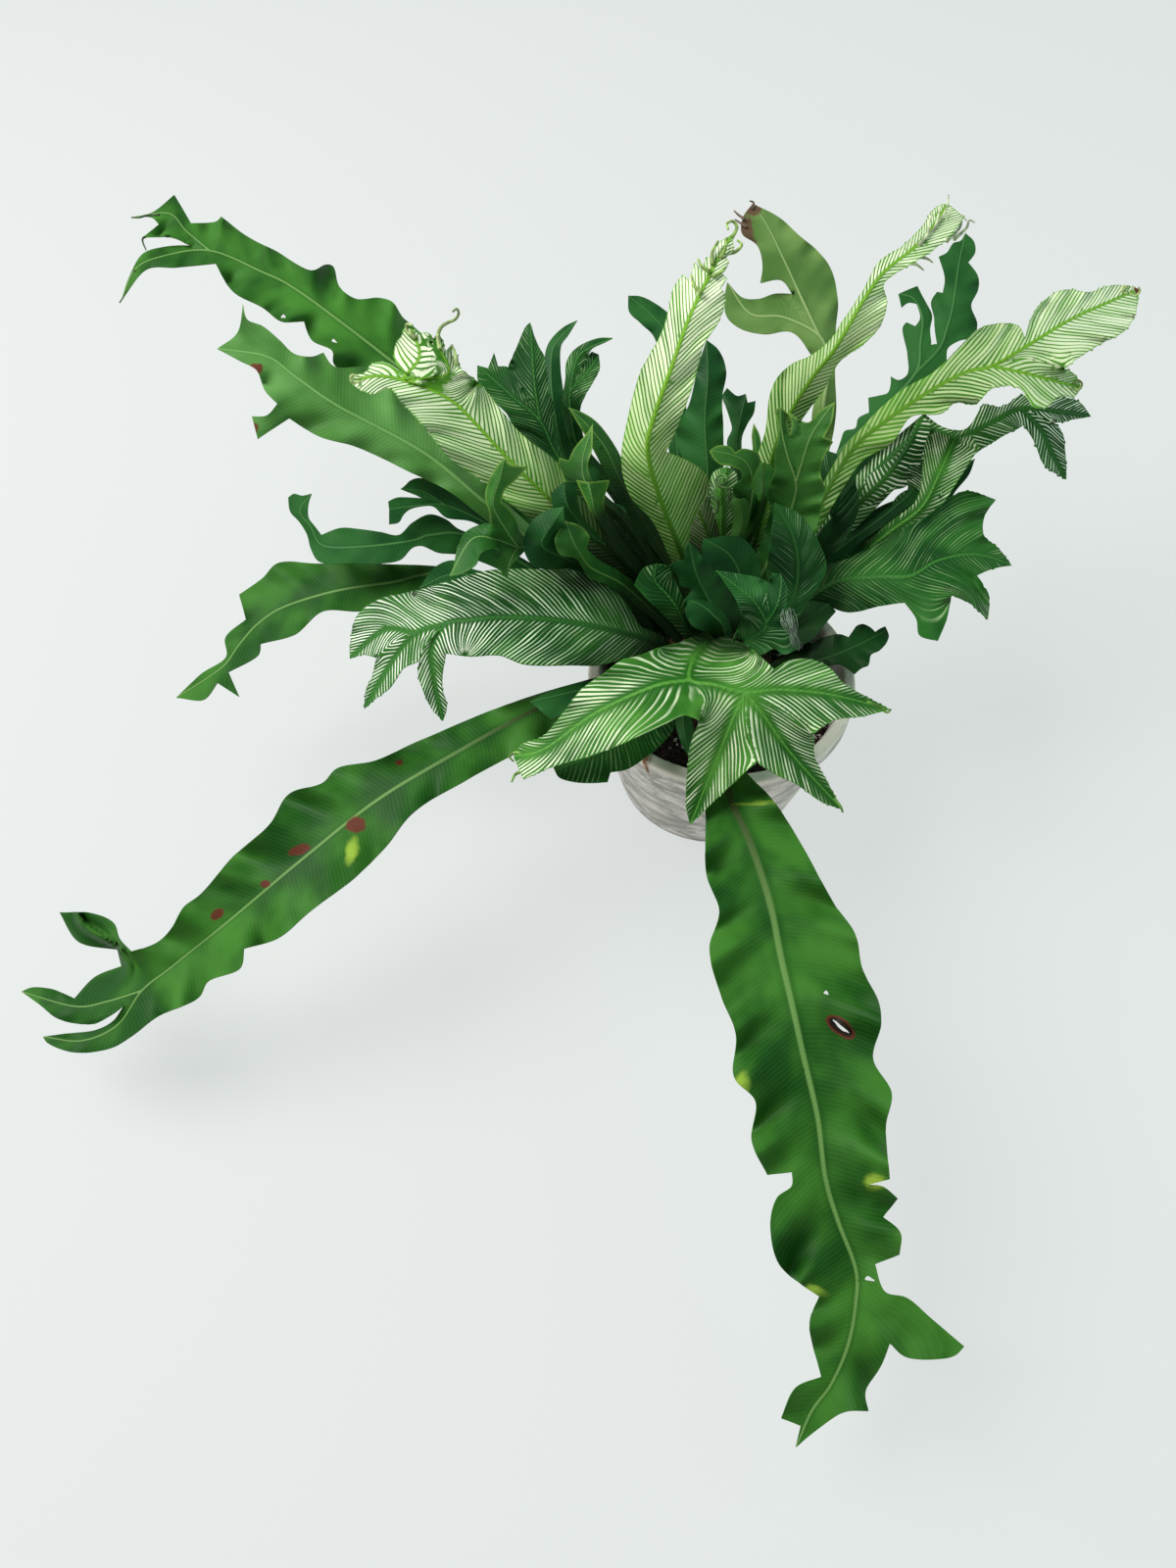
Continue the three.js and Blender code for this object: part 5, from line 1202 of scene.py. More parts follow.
# Striped fronds: the same straps, with the green gone between the side veins.
# The young ones are nearly all cream, and the older ones keep green between white streaks.
def striped_finish(name, slot, greens, whites, rib_tones, pitch, fill, widths, heart, strength,
                   faint):
    """A blade with white between its side veins. Greens are its deep and light green, whites
    its white near the foot and near the tip, pitch is how far apart the veins leave the rib,
    fill how many gaps are white, widths how wide the white is near the foot and near the tip,
    heart how far from the rib the white starts, strength how strong it is near the foot and
    near the tip, and faint what is left of it in its weakest patches."""
    deep, light = greens
    leaf = Recipe(name, 0.52, 0.14)
    vein, out, rim, rib = (leaf.kept(label) for label in ("streak", "out", "rim", "rib"))
    share = leaf.kept("share")
    seed = leaf.sum("ADD", leaf.kept("seed"), leaf.sum("MULTIPLY", leaf.kept("side"), 7.3))
    drift = leaf.add("CombineXYZ", {0: leaf.sum("MULTIPLY", vein, 0.3), 1: out, 2: seed})
    drift = leaf.cloud(drift.outputs[0], 0.05, 2)
    count = leaf.sum("DIVIDE", leaf.sum("ADD", vein, leaf.sum("MULTIPLY", drift, 7.0)), pitch)
    number = leaf.sum("FLOOR", count)
    part = leaf.sum("FRACT", count)
    off = leaf.sum("ABSOLUTE", leaf.sum("SUBTRACT", part, 0.5))
    draw = leaf.add("CombineXYZ", {0: number, 1: leaf.sum("MULTIPLY", out, 0.05), 2: seed})
    lane = leaf.add("CombineXYZ", {0: number, 1: 3.7, 2: seed}).outputs[0]
    gap = leaf.add("TexWhiteNoise", {"Vector": lane}, noise_dimensions="3D").outputs["Value"]
    along = leaf.cloud(draw.outputs[0], 1.0, 1)
    chance = leaf.sum("ADD", leaf.sum("MULTIPLY", gap, 0.45), along)
    present = leaf.spread(chance, 1.0 - fill, 1.14 - fill)
    width = leaf.spread(share, 0.1, 0.8, *widths)
    width = leaf.sum("ADD", width, leaf.sum("MULTIPLY", leaf.sum("SUBTRACT", along, 0.5), 0.5))
    core = leaf.spread(off, leaf.sum("SUBTRACT", width, 0.09), width, 1, 0)
    opened = leaf.spread(out, heart * 0.5, heart * 1.5 + 0.5)
    pale = leaf.sum("MULTIPLY", leaf.sum("MULTIPLY", present, core), opened)
    patch = leaf.cloud(leaf.place(), 26, 3)
    green = leaf.blend(leaf.spread(patch, 0.38, 0.63), deep, light)
    strong = leaf.spread(share, 0.12, 0.6, *strength)
    uneven = leaf.sum("MULTIPLY_ADD", along, 0.9, 0.45)
    pale = leaf.sum("MULTIPLY", leaf.sum("MULTIPLY", pale, strong), uneven)
    weak = leaf.cloud(leaf.place(), 38, 2)
    pale = leaf.sum("MULTIPLY", pale, leaf.spread(weak, 0.38, 0.58, faint, 1))
    pale = leaf.sum("MINIMUM", leaf.sum("MULTIPLY", pale, leaf.kept("clear")), 1.0)
    white = leaf.blend(leaf.spread(share, 0.4, 0.9), *whites)
    body = leaf.blend(pale, green, white)
    body = leaf.blend(leaf.spread(rim, 0.15, 0.8, 0.55, 0), body, light)
    rib_tone = leaf.blend(leaf.spread(share, 0.1, 0.75), *rib_tones)
    body = leaf.blend(leaf.spread(rib, 0.5, 1.15, 0.9, 0), body, rib_tone)
    body = leaf.blend(leaf.sum("MULTIPLY", leaf.kept("under"), 0.35), body, light)
    leaf.colour(aged(leaf, body))
    leaf.roughness(leaf.spread(patch, 0.35, 0.65, 0.46, 0.58))
    leaf.relief(leaf.spread(off, 0.2, 0.5), 0.00022)
    return leaf.material, slot


CREAM = striped_finish(
    "green_striped_cream_leaf",
    "green_striped_cream_leaf",
    greens=((0.040, 0.185, 0.012), (0.115, 0.345, 0.028)),
    whites=((0.50, 0.66, 0.28), (0.84, 0.91, 0.66)),
    rib_tones=((0.030, 0.140, 0.010), (0.20, 0.44, 0.030)),
    pitch=3.2,
    fill=0.90,
    widths=(0.24, 0.36),
    heart=0.6,
    strength=(0.75, 1.15),
    faint=0.8,
)
STRIPED = striped_finish(
    "white_striped_green_leaf",
    "white_striped_green_leaf",
    greens=((0.008, 0.074, 0.008), (0.034, 0.165, 0.018)),
    whites=((0.74, 0.86, 0.62), (0.92, 0.97, 0.84)),
    rib_tones=((0.016, 0.090, 0.014), (0.040, 0.170, 0.030)),
    pitch=2.7,
    fill=0.66,
    widths=(0.12, 0.18),
    heart=1.4,
    strength=(0.80, 1.30),
    faint=0.6,
)
FAINT = striped_finish(
    "faint_striped_green_leaf",
    "white_striped_green_leaf",
    greens=((0.006, 0.064, 0.009), (0.024, 0.135, 0.018)),
    whites=((0.30, 0.48, 0.20), (0.42, 0.60, 0.30)),
    rib_tones=((0.020, 0.110, 0.018), (0.060, 0.220, 0.040)),
    pitch=2.9,
    fill=0.52,
    widths=(0.12, 0.15),
    heart=1.2,
    strength=(1.2, 0.6),
    faint=0.1,
)
FAINT_BACK = (FAINT[0], "dark_green_leaf")
# A darker copy of the faint striped finish for leaves deep in the crown: partly their own darker green,
# partly painted shade.
FAINT_DARK_AND_SHADED = striped_finish(
    "faint_striped_dark_and_shaded_leaf",
    "dark_green_leaf",
    greens=((0.006, 0.060, 0.012), (0.026, 0.138, 0.026)),
    whites=((0.22, 0.38, 0.18), (0.32, 0.50, 0.27)),
    rib_tones=((0.012, 0.080, 0.016), (0.045, 0.17, 0.035)),
    pitch=2.4,
    fill=0.44,
    widths=(0.11, 0.14),
    heart=2.0,
    strength=(0.9, 0.8),
    faint=0.0,
)
HERO = striped_finish(
    "white_striped_green_leaf_front",
    "white_striped_green_leaf",
    greens=((0.022, 0.130, 0.012), (0.078, 0.275, 0.034)),
    whites=((0.66, 0.78, 0.50), (0.84, 0.92, 0.66)),
    rib_tones=((0.070, 0.250, 0.032), (0.120, 0.350, 0.055)),
    pitch=2.6,
    fill=0.64,
    widths=(0.16, 0.21),
    heart=2.8,
    strength=(0.95, 1.15),
    faint=0.5,
)

grow(
    "frond_striped_left", CREAM, root=(160, 2), pace=1.05, lean=(1.2, 1.2), waves=(3.5, 26), rib=1.5,
    fray=2.0, foot=(72, 135),
    ribs=[
        (0, [(670, 605, 122), (610, 555, 165), (545, 495, 198), (517, 467, 210), (479, 426, 224),
            (463, 411, 229), (440, 398, 234), (410, 388, 238), (384, 384, 241), (358, 390, 240)]),
        (7, [(428, 364, 243), (420, 336, 248)]),
        (7, [(456, 382, 238), (449, 356, 245), (447, 340, 249)]),
    ],
    edges=[
        [(491, 490), (458, 467), (438, 441), (420, 421), (407, 407), (402, 399), (394, 396), (388, 400),
         (380, 402), (370, 399), (362, 394)],
        {"fold": [(430, 391), (417, 383)],
         "left": [(406, 377), (396, 371), (385, 370), (378, 373), (374, 380), (366, 382), (360, 386)],
         "right": [(405, 372), (402, 362), (404, 350), (410, 343), (412, 335)]},
        {"fold": [(444, 382), (441, 352)],
         "left": [(440, 342), (433, 339), (428, 341)],
         "right": [(443, 345)]},
        [(581, 495), (568, 472), (530, 441), (489, 391), (476, 381), (470, 376), (467, 362), (462, 368),
         (460, 352), (454, 360), (452, 348)],
    ],
)
grow(
    "frond_striped_upright", CREAM, root=(150, 0), lean=(1.2, 1.2), waves=(3.0, 28), rib=1.6, fray=1.5,
    foot=(20, 95),
    ribs=[(0, [(710, 608, 128), (694, 562, 160), (671, 501, 202), (661, 460, 226), (666, 430, 239),
        (684, 379, 260), (702, 328, 274), (720, 289, 284), (735, 260, 289), (747, 240, 292)])],
    edges=[
        [(684, 570), (666, 532), (643, 506), (634, 470), (642, 422), (654, 379), (676, 338), (689, 291),
         (697, 280), (703, 286), (710, 268), (716, 276), (722, 262), (728, 266), (734, 248)],
        [(703, 560), (707, 532), (722, 505), (722, 486), (702, 470), (680, 461), (687, 445), (703, 405),
         (712, 375), (718, 352), (735, 325), (740, 300), (735, 294), (742, 284), (735, 278), (743, 268),
         (741, 262), (748, 256)],
    ],
)
grow(
    "frond_striped_twisted", CREAM, root=(64, 2), lean=(1.3, 1.3), waves=(2.5, 22), rib=1.2, fray=2.0,
    ribs=[(0, [(758, 592, 112), (780, 520, 148), (789, 463, 180), (809, 417, 204), (830, 384, 222),
        (852, 356, 238), (881, 307, 258), (901, 279, 264), (929, 256, 267), (947, 238, 268),
        (967, 208, 268)])],
    edges=[
        [(768, 480), (781, 440), (786, 402), (795, 383), (809, 371), (827, 363), (847, 347), (862, 325),
         (880, 298), (897, 268), (920, 252), (940, 232), (955, 212)],
        [(800, 490), (812, 440), (826, 417), (840, 399), (856, 370), (880, 352), (898, 333), (905, 310),
         (902, 290), (925, 272), (948, 258), (970, 240), (984, 222)],
    ],
)
grow(
    "frond_striped_right", CREAM, root=(28, 2), pace=1.4, lean=(1.5, 1.5), waves=(4.0, 22), rib=1.5,
    fray=2.5, rust=[(1162, 295, 5, 5, 0)],
    ribs=[
        (0, [(775, 618, 116), (820, 545, 148), (866, 465, 178), (900, 433, 190), (948, 400, 202),
            (986, 380, 208), (1012, 374, 211), (1045, 355, 213), (1091, 327, 211), (1130, 309, 207),
            (1162, 295, 202)]),
        (6, [(1045, 381, 208), (1072, 388, 202), (1103, 396, 194)]),
    ],
    edges=[
        [(862, 456), (880, 436), (900, 415), (925, 395), (948, 383), (966, 368), (980, 353), (1000, 335),
         (1022, 330), (1040, 333), (1046, 345), (1052, 325), (1063, 309), (1085, 296), (1112, 298),
         (1136, 291), (1149, 292)],
        {"fold": [(1045, 366), (1085, 376)],
         "left": [(1096, 368), (1108, 360), (1130, 347), (1147, 338), (1158, 322)],
         "right": [(1098, 384)]},
        [(880, 470), (910, 452), (930, 425), (960, 422), (975, 411), (996, 412), (1012, 396), (1040, 396),
         (1056, 416), (1068, 415), (1082, 404), (1096, 406)],
    ],
)
grow(
    "frond_right_arching", STRIPED, root=(41, 4), pace=1.15, lean=(1.0, 1.0), waves=(3.0, 22), rib=1.1,
    fray=2.5,
    ribs=[
        (0, [(800, 605, 108), (850, 537, 130), (892, 484, 147), (925, 452, 160), (952, 440, 164),
            (978, 447, 166), (1010, 432, 167), (1042, 417, 165), (1078, 420, 160), (1113, 425, 152)]),
        (7, [(1063, 440, 158), (1074, 464, 150), (1088, 489, 140)]),
    ],
    edges=[
        [(880, 478), (910, 450), (943, 422), (962, 436), (985, 438), (1003, 412), (1022, 415), (1042, 402),
         (1060, 412), (1080, 405), (1102, 411)],
        {"fold": [(1074, 431)],
         "left": [(1095, 428)],
         "right": [(1084, 442), (1087, 462)]},
        [(900, 512), (922, 490), (938, 500), (950, 515), (968, 498), (992, 466), (1022, 446), (1045, 434),
         (1056, 452), (1066, 475)],
    ],
)
grow(
    "frond_right_fingered", FAINT, root=(3, 4), lean=(1.1, 1.1), waves=(4.5, 22), cup=0.08, rib=1.3,
    fray=1.5,
    ribs=[(0, [(795, 645, 100), (844, 598, 131), (892, 589, 147), (928, 588, 154), (955, 573, 154),
        (985, 566, 152), (1008, 568, 148), (1032, 577, 142)])],
    edges=[
        [(835, 580), (860, 572), (890, 558), (920, 540), (945, 527), (965, 511), (985, 501), (1016, 510),
         (1005, 526), (1004, 546), (1019, 560)],
        [(838, 618), (866, 625), (900, 618), (923, 615), (935, 632), (938, 648), (957, 654), (966, 632),
         (971, 607), (990, 616), (1008, 632), (1009, 608), (997, 587), (1014, 580)],
    ],
)
grow(
    "frond_striped_low_left", STRIPED, root=(193, 2), lean=(0.9, 1.0), waves=(3.0, 26), rib=1.3, fray=1.5,
    foot=(25, 95),
    ribs=[
        (0, [(673, 657, 122), (640, 647, 139), (604, 639, 150), (558, 632, 157), (512, 630, 159),
            (480, 633, 158), (455, 637, 155), (440, 662, 146), (444, 700, 134), (452, 736, 124)]),
        (6, [(425, 646, 150), (402, 672, 140), (372, 723, 124)]),
        (7, [(392, 643, 145), (357, 672, 134)]),
    ],
    edges=[
        [(640, 672), (611, 679), (580, 679), (535, 678), (510, 669), (482, 670), (455, 667), (451, 700),
         (456, 722)],
        {"fold": [(433, 660), (428, 674)],
         "left": [(427, 690), (440, 722)],
         "right": [(412, 682), (398, 702), (382, 714)]},
        {"fold": [(402, 655), (385, 670)],
         "left": [(380, 690), (373, 706)],
         "right": [(370, 668)]},
        [(655, 640), (636, 612), (615, 594), (590, 583), (551, 581), (501, 582), (455, 594), (420, 604),
         (386, 612), (364, 629), (358, 652)],
    ],
)
grow(
    "frond_hero_front", HERO, root=(80, 0), pace=1.5, lean=(1.4, 1.4), waves=(2.5, 26), cup=0.03, rib=1.15,
    fray=1.4,
    ribs=[
        (0, [(720, 657, 125), (708, 672, 147), (704, 694, 162), (730, 699, 165), (760, 707, 162),
            (795, 704, 158), (848, 709, 149), (908, 724, 134)]),
        (4, [(779, 730, 155), (808, 770, 138), (859, 826, 112)]),
        (4, [(749, 730, 156), (732, 772, 140), (704, 842, 114)]),
        (2, [(666, 701, 164), (607, 728, 157), (556, 764, 145), (524, 772, 137)]),
    ],
    edges=[
        [(732, 648, 9), (747, 652, 10), (768, 663, 3), (790, 683), (805, 674), (822, 672), (843, 679),
         (862, 698), (884, 711)],
        {"fold": [(800, 728), (829, 749)],
         "left": [(851, 735), (880, 731)],
         "right": [(831, 772), (847, 803)]},
        {"fold": [(762, 742), (773, 777)],
         "left": [(790, 789), (812, 800), (838, 818)],
         "right": [(757, 791), (722, 824)]},
        {"fold": [(718, 714), (714, 735)],
         "left": [(706, 754), (701, 791), (700, 822)],
         "right": [(698, 730), (680, 738), (650, 752), (620, 765), (590, 775), (562, 783), (534, 795)]},
        [(695, 655), (672, 661), (655, 668), (634, 674), (615, 688), (594, 703), (575, 727), (553, 752),
         (532, 760)],
    ],
)

# Small crested leaves: short young fronds packed around the crown, with blunt lobes at their tips.
# They fill the middle of the plant between the long fronds.
grow(
    "leaf_crested_back_left", FAINT_BACK, root=(144, 2), lean=(1.2, 1.2), waves=(3.0, 14), foot=(70, 125),
    ribs=[
        (0, [(672, 592, 122), (620, 530, 155), (570, 467, 181), (551, 430, 197), (522, 404, 206),
            (487, 373, 212)]),
        (3, [(545, 388, 211), (541, 329, 226)]),
    ],
    edges=[
        [(566, 476), (540, 451), (526, 438), (516, 421), (500, 406), (488, 390)],
        {"fold": [(536, 402), (527, 388), (519, 375)],
         "left": [(508, 374), (504, 360), (498, 376)],
         "right": [(523, 364), (529, 350), (536, 334)]},
        [(580, 474), (568, 450), (564, 432), (566, 414), (561, 402), (557, 372), (555, 363), (548, 350)],
    ],
)
grow(
    "leaf_fingered_back_left", FAINT_BACK, root=(130, 2), lean=(1.2, 1.2), waves=(3.0, 14), foot=(75, 125),
    ribs=[
        (0, [(637, 518, 138), (593, 462, 163), (583, 425, 184), (582, 398, 195), (592, 362, 206),
            (625, 345, 212)]),
        (3, [(599, 380, 200), (611, 362, 204)]),
    ],
    edges=[
        [(578, 440), (574, 410), (577, 386), (578, 370), (585, 358), (597, 350), (612, 345)],
        {"fold": [(592, 378), (600, 363)],
         "left": [(604, 356), (616, 350)],
         "right": [(604, 359)]},
        [(594, 440), (592, 418), (597, 404), (604, 392), (612, 376)],
    ],
)
grow(
    "leaf_narrow_back_left", DARK, root=(134, 3), waves=(1.0, 20), foot=(95, 150),
    ribs=[(0, [(668, 600, 102), (614, 535, 126), (578, 470, 150), (566, 420, 174), (562, 380, 187),
        (566, 352, 194), (589, 327, 200)])],
    edges=[
        [(555, 400), (555, 370), (560, 350), (575, 334)],
        [(575, 400), (572, 375), (573, 352), (580, 342)],
    ],
)
grow(
    "leaf_strap_back_left", YOUNG, root=(111, 2), waves=(1.0, 20), foot=(85, 125),
    ribs=[(0, [(694, 590, 120), (655, 530, 148), (632, 488, 166), (618, 458, 178), (600, 435, 188),
        (580, 416, 196)])],
    edges=[
        [(621, 490), (606, 460), (592, 436)],
        [(642, 487), (629, 458), (608, 430), (592, 420)],
    ],
)
grow(
    "leaf_pointed_left", YOUNG, root=(128, 1), waves=(2.0, 12), cup=0.15, foot=(85, 140),
    ribs=[(0, [(646, 542, 162), (604, 502, 184), (594, 474, 190), (605, 432, 200)])],
    edges=[
        [(590, 494), (578, 486), (567, 480), (571, 467), (580, 470), (587, 456), (599, 442)],
        [(603, 488), (600, 474), (604, 460)],
    ],
)
grow(
    "leaf_crested_left", YOUNG, root=(177, 2), waves=(3.0, 13), cup=0.15, foot=(62, 115),
    ribs=[
        (0, [(612, 580, 127), (565, 561, 155), (540, 560, 172), (529, 559, 178), (521, 572, 176),
            (517, 591, 170)]),
        (3, [(505, 550, 188), (481, 551, 190), (459, 588, 182)]),
        (3, [(516, 540, 200), (503, 515, 216), (510, 488, 226), (515, 467, 234)]),
    ],
    edges=[
        [(545, 566), (537, 561), (528, 570), (520, 579)],
        {"fold": [(519, 564), (510, 560)],
         "left": [(505, 565), (508, 578)],
         "right": [(498, 561), (490, 566), (486, 576), (470, 586)]},
        {"fold": [(512, 545), (502, 535)],
         "left": [(488, 536), (474, 544), (467, 558), (463, 576)],
         "right": [(499, 522), (495, 506), (499, 490), (507, 476)]},
        [(548, 556), (536, 549), (529, 540), (526, 530), (519, 519), (511, 512), (515, 500), (526, 490),
         (539, 476), (521, 474)],
    ],
)
grow(
    "leaf_blue_green_left", DARK, root=(172, 1), waves=(1.0, 20), foot=(70, 120),
    ribs=[(0, [(670, 628, 119), (620, 587, 138), (578, 570, 165), (553, 556, 188), (564, 534, 198),
        (575, 517, 205)])],
    edges=[
        [(585, 581), (545, 578), (534, 556), (543, 532), (560, 520)],
        [(585, 566), (577, 550), (576, 534)],
    ],
)
grow(
    "leaf_three_cornered", YOUNG, root=(149, 1), waves=(1.0, 20), foot=(98, 112),
    ribs=[(0, [(678, 612, 122), (640, 572, 156), (610, 528, 186), (604, 508, 197), (600, 492, 202)])],
    edges=[
        [(602, 520), (588, 490)],
        [(616, 515), (622, 490)],
    ],
)
grow(
    "leaf_dark_under_left", DARK, root=(163, 4), waves=(1.5, 20), foot=(60, 110),
    ribs=[
        (0, [(560, 571, 130), (500, 536, 152), (455, 516, 159), (428, 516, 161), (397, 520, 162)]),
        (2, [(432, 502, 163), (409, 499, 164)]),
    ],
    edges=[
        [(480, 532), (455, 528), (442, 517), (430, 517), (418, 520), (412, 525), (407, 533), (397, 535)],
        {"fold": [(432, 509)],
         "left": [(420, 508), (405, 508), (396, 512)],
         "right": [(424, 505), (416, 502)]},
        [(480, 506), (460, 494), (446, 491), (426, 488), (418, 491), (413, 496)],
    ],
)
grow(
    "leaf_dark_small_left", DARK, root=(174, 3), waves=(1.0, 20),
    ribs=[(0, [(640, 638, 108), (560, 608, 128), (500, 592, 138), (462, 586, 141), (428, 600, 141)])],
    edges=[
        [(465, 596)],
        [(480, 580), (462, 572), (445, 578)],
    ],
)
grow(
    "leaf_rolled_young", FAINT, root=(200, 0), lean=(0.6, 0.6), waves=(2.0, 14), cup=0.3, foot=(0, 45),
    ribs=[(0, [(701, 641, 121), (692, 622, 134), (680, 606, 142), (668, 592, 148), (670, 575, 154)])],
    edges=[
        [(684, 634), (661, 612), (647, 597), (656, 580)],
        [(704, 622), (694, 604), (688, 590), (680, 577)],
    ],
)
grow(
    "leaf_dark_back_wide", DARK, root=(88, 2), waves=(3.0, 18), rib=0.9, foot=(40, 95),
    ribs=[(0, [(726, 590, 116), (724, 530, 144), (722, 481, 168), (719, 430, 188), (722, 385, 204),
        (721, 347, 214)])],
    edges=[
        [(708, 490), (690, 447), (704, 410), (712, 375)],
        [(738, 490), (738, 437), (737, 405), (741, 378), (733, 357)],
    ],
)
grow(
    "leaf_dark_back_crested", DARK, root=(74, 3), waves=(3.0, 14), foot=(40, 95),
    ribs=[(0, [(744, 585, 108), (751, 530, 134), (752, 485, 154), (752, 450, 168), (756, 425, 178),
        (761, 402, 184)])],
    edges=[
        [(745, 470), (742, 450), (747, 438), (745, 428), (741, 416), (737, 405), (742, 396), (752, 404)],
        [(757, 470), (757, 446), (762, 434), (769, 422), (771, 409), (763, 411)],
    ],
)
grow(
    "leaf_behind_upright", DARK, root=(99, 3), waves=(3.0, 14), foot=(40, 95),
    ribs=[(0, [(712, 590, 108), (700, 520, 134), (690, 450, 158), (686, 390, 176), (681, 345, 188),
        (665, 322, 192), (641, 302, 194)])],
    edges=[
        [(680, 440), (674, 380), (668, 345), (654, 330), (642, 318)],
        [(702, 440), (697, 380), (692, 335), (682, 320), (655, 303)],
    ],
)
grow(
    "leaf_crested_back_right", YOUNG, root=(45, 2), waves=(4.0, 13), cup=0.1, rib=1.2, foot=(0, 45),
    ribs=[
        (0, [(796, 550, 152), (809, 514, 172), (812, 492, 184), (803, 464, 196), (797, 436, 206),
            (796, 415, 212)]),
        (2, [(817, 476, 192), (826, 448, 205), (838, 428, 212), (852, 410, 217)]),
    ],
    edges=[
        [(786, 520), (784, 502), (790, 484), (790, 464), (795, 440), (790, 420)],
        {"fold": [(811, 476), (808, 458), (806, 444)],
         "left": [(808, 432), (802, 420)],
         "right": [(803, 432), (805, 421), (815, 428), (825, 431), (836, 420)]},
        [(834, 536), (838, 514), (842, 500), (837, 482), (842, 464), (850, 451), (841, 446), (849, 430)],
    ],
)
grow(
    "leaf_light_back", YOUNG, root=(87, 1), waves=(3.0, 12), cup=0.1, rib=0.9, foot=(0, 45),
    ribs=[(0, [(757, 565, 130), (765, 520, 165), (768, 495, 180), (762, 473, 193), (745, 464, 200),
        (724, 460, 204)])],
    edges=[
        [(757, 520), (760, 510), (749, 505), (748, 496), (757, 489), (756, 481), (746, 476), (735, 474),
         (728, 468)],
        [(772, 516), (773, 508), (766, 496), (770, 483), (776, 470), (772, 462), (757, 458), (750, 462),
         (745, 456), (732, 455)],
    ],
)
grow(
    "leaf_dark_fan_right", FAINT_DARK_AND_SHADED, root=(43, 3), lean=(1.2, 1.2), waves=(2.5, 14), foot=(20, 90),
    ribs=[(0, [(785, 602, 112), (825, 560, 136), (848, 525, 151), (856, 495, 159), (862, 466, 164)])],
    edges=[
        [(838, 540), (849, 528), (840, 510), (843, 494), (834, 484), (828, 468), (840, 468), (844, 460)],
        [(850, 566), (862, 550), (872, 532), (877, 516), (874, 496), (870, 480)],
    ],
)
grow(
    "leaf_rolled_striped", HERO, root=(108, 1), lean=(0.8, 0.8), waves=(1.0, 20), foot=(0, 45),
    ribs=[(0, [(728, 612, 120), (734, 560, 138), (736, 525, 158), (735, 500, 170), (742, 476, 178)])],
    edges=[
        [(727, 530), (723, 505), (728, 482)],
        [(748, 530), (751, 505), (752, 484)],
    ],
)
grow(
    "leaf_dark_lobed_middle", DARK, root=(0, 0), waves=(3.0, 14), cup=0.15, foot=(0, 45),
    ribs=[(0, [(737, 641, 117), (733, 628, 130), (720, 606, 143), (710, 584, 156), (703, 553, 170)])],
    edges=[
        [(718, 634), (704, 626), (698, 614), (703, 606), (706, 601), (694, 597), (692, 588), (682, 578),
         (691, 572), (700, 571), (700, 560)],
        [(752, 638), (755, 624), (750, 608), (740, 596), (728, 582), (718, 570), (709, 558)],
    ],
)
grow(
    "leaf_dark_round_middle", DARK, root=(60, 1), waves=(2.0, 20), cup=0.2, foot=(0, 45),
    ribs=[(0, [(750, 620, 120), (756, 592, 138), (744, 566, 151), (718, 550, 157)])],
    edges=[
        [(738, 600), (724, 580), (716, 564)],
        [(776, 600), (774, 570), (755, 548)],
    ],
)
grow(
    "leaf_oval_middle", FAINT_DARK_AND_SHADED, root=(3, 2), lean=(1.0, 1.0), waves=(2.5, 20), cup=0.2, rib=1.1,
    foot=(0, 45),
    ribs=[(0, [(786, 642, 114), (804, 624, 128), (814, 588, 150), (810, 550, 172), (791, 513, 190)])],
    edges=[
        [(790, 612), (783, 585), (787, 545)],
        [(822, 618), (843, 582), (835, 552), (815, 524)],
    ],
)
grow(
    "leaf_striped_crest_middle", FAINT_DARK_AND_SHADED, root=(-55, 0), lean=(0.8, 0.8), waves=(3.0, 14), cup=0.1,
    foot=(0, 45),
    ribs=[
        (0, [(768, 650, 140), (782, 636, 154), (768, 612, 164), (748, 596, 168), (730, 582, 170)]),
        (1, [(793, 618, 170), (797, 600, 176), (797, 586, 180)]),
    ],
    edges=[
        [(758, 662), (746, 658), (752, 642), (756, 627), (752, 614), (742, 598)],
        {"fold": [(782, 612), (784, 594)],
         "left": [(772, 589), (750, 585)],
         "right": [(788, 585)]},
        [(778, 668), (790, 662), (800, 668), (816, 661), (806, 640), (802, 620), (803, 600)],
    ],
)
grow(
    "leaf_small_wavy_right", DARK, root=(-20, 4), waves=(5.0, 11), cup=0.1,
    ribs=[(0, [(797, 682, 98), (815, 680, 106), (842, 672, 114), (872, 660, 116), (892, 650, 115),
        (905, 643, 113)])],
    edges=[
        [(830, 655), (842, 650), (855, 647), (866, 650), (870, 644), (875, 638), (882, 637), (889, 641),
         (893, 645), (897, 642), (903, 639)],
        [(838, 682), (856, 678), (864, 682), (872, 688), (879, 682), (886, 679), (889, 668), (897, 664),
         (904, 657), (907, 649)],
    ],
)
grow(
    "leaf_dark_front_left", FAINT_BACK, root=(226, 4), waves=(1.5, 20), foot=(10, 50),
    ribs=[(0, [(668, 722, 104), (645, 743, 122), (612, 768, 130), (566, 786, 128)])],
    edges=[
        [(688, 742), (672, 762), (660, 772), (640, 785), (623, 788), (620, 798), (604, 799), (586, 798),
         (570, 793)],
        [(640, 728), (600, 750), (570, 768), (562, 777)],
    ],
)
grow(
    "leaf_dark_low_left", DARK, root=(206, 3), waves=(1.5, 20),
    ribs=[(0, [(665, 690, 112), (625, 698, 126), (585, 706, 136), (541, 716, 138)])],
    edges=[
        [(590, 722), (562, 734)],
        [(590, 697), (560, 706)],
    ],
)
grow(
    "leaf_spear_front", DARK, root=(-118, 3), waves=(0.5, 20),
    ribs=[(0, [(698, 716, 104), (697, 738, 114), (703, 772, 112)])],
    edges=[
        [(706, 735), (709, 758)],
        [(689, 735), (695, 758)],
    ],
)


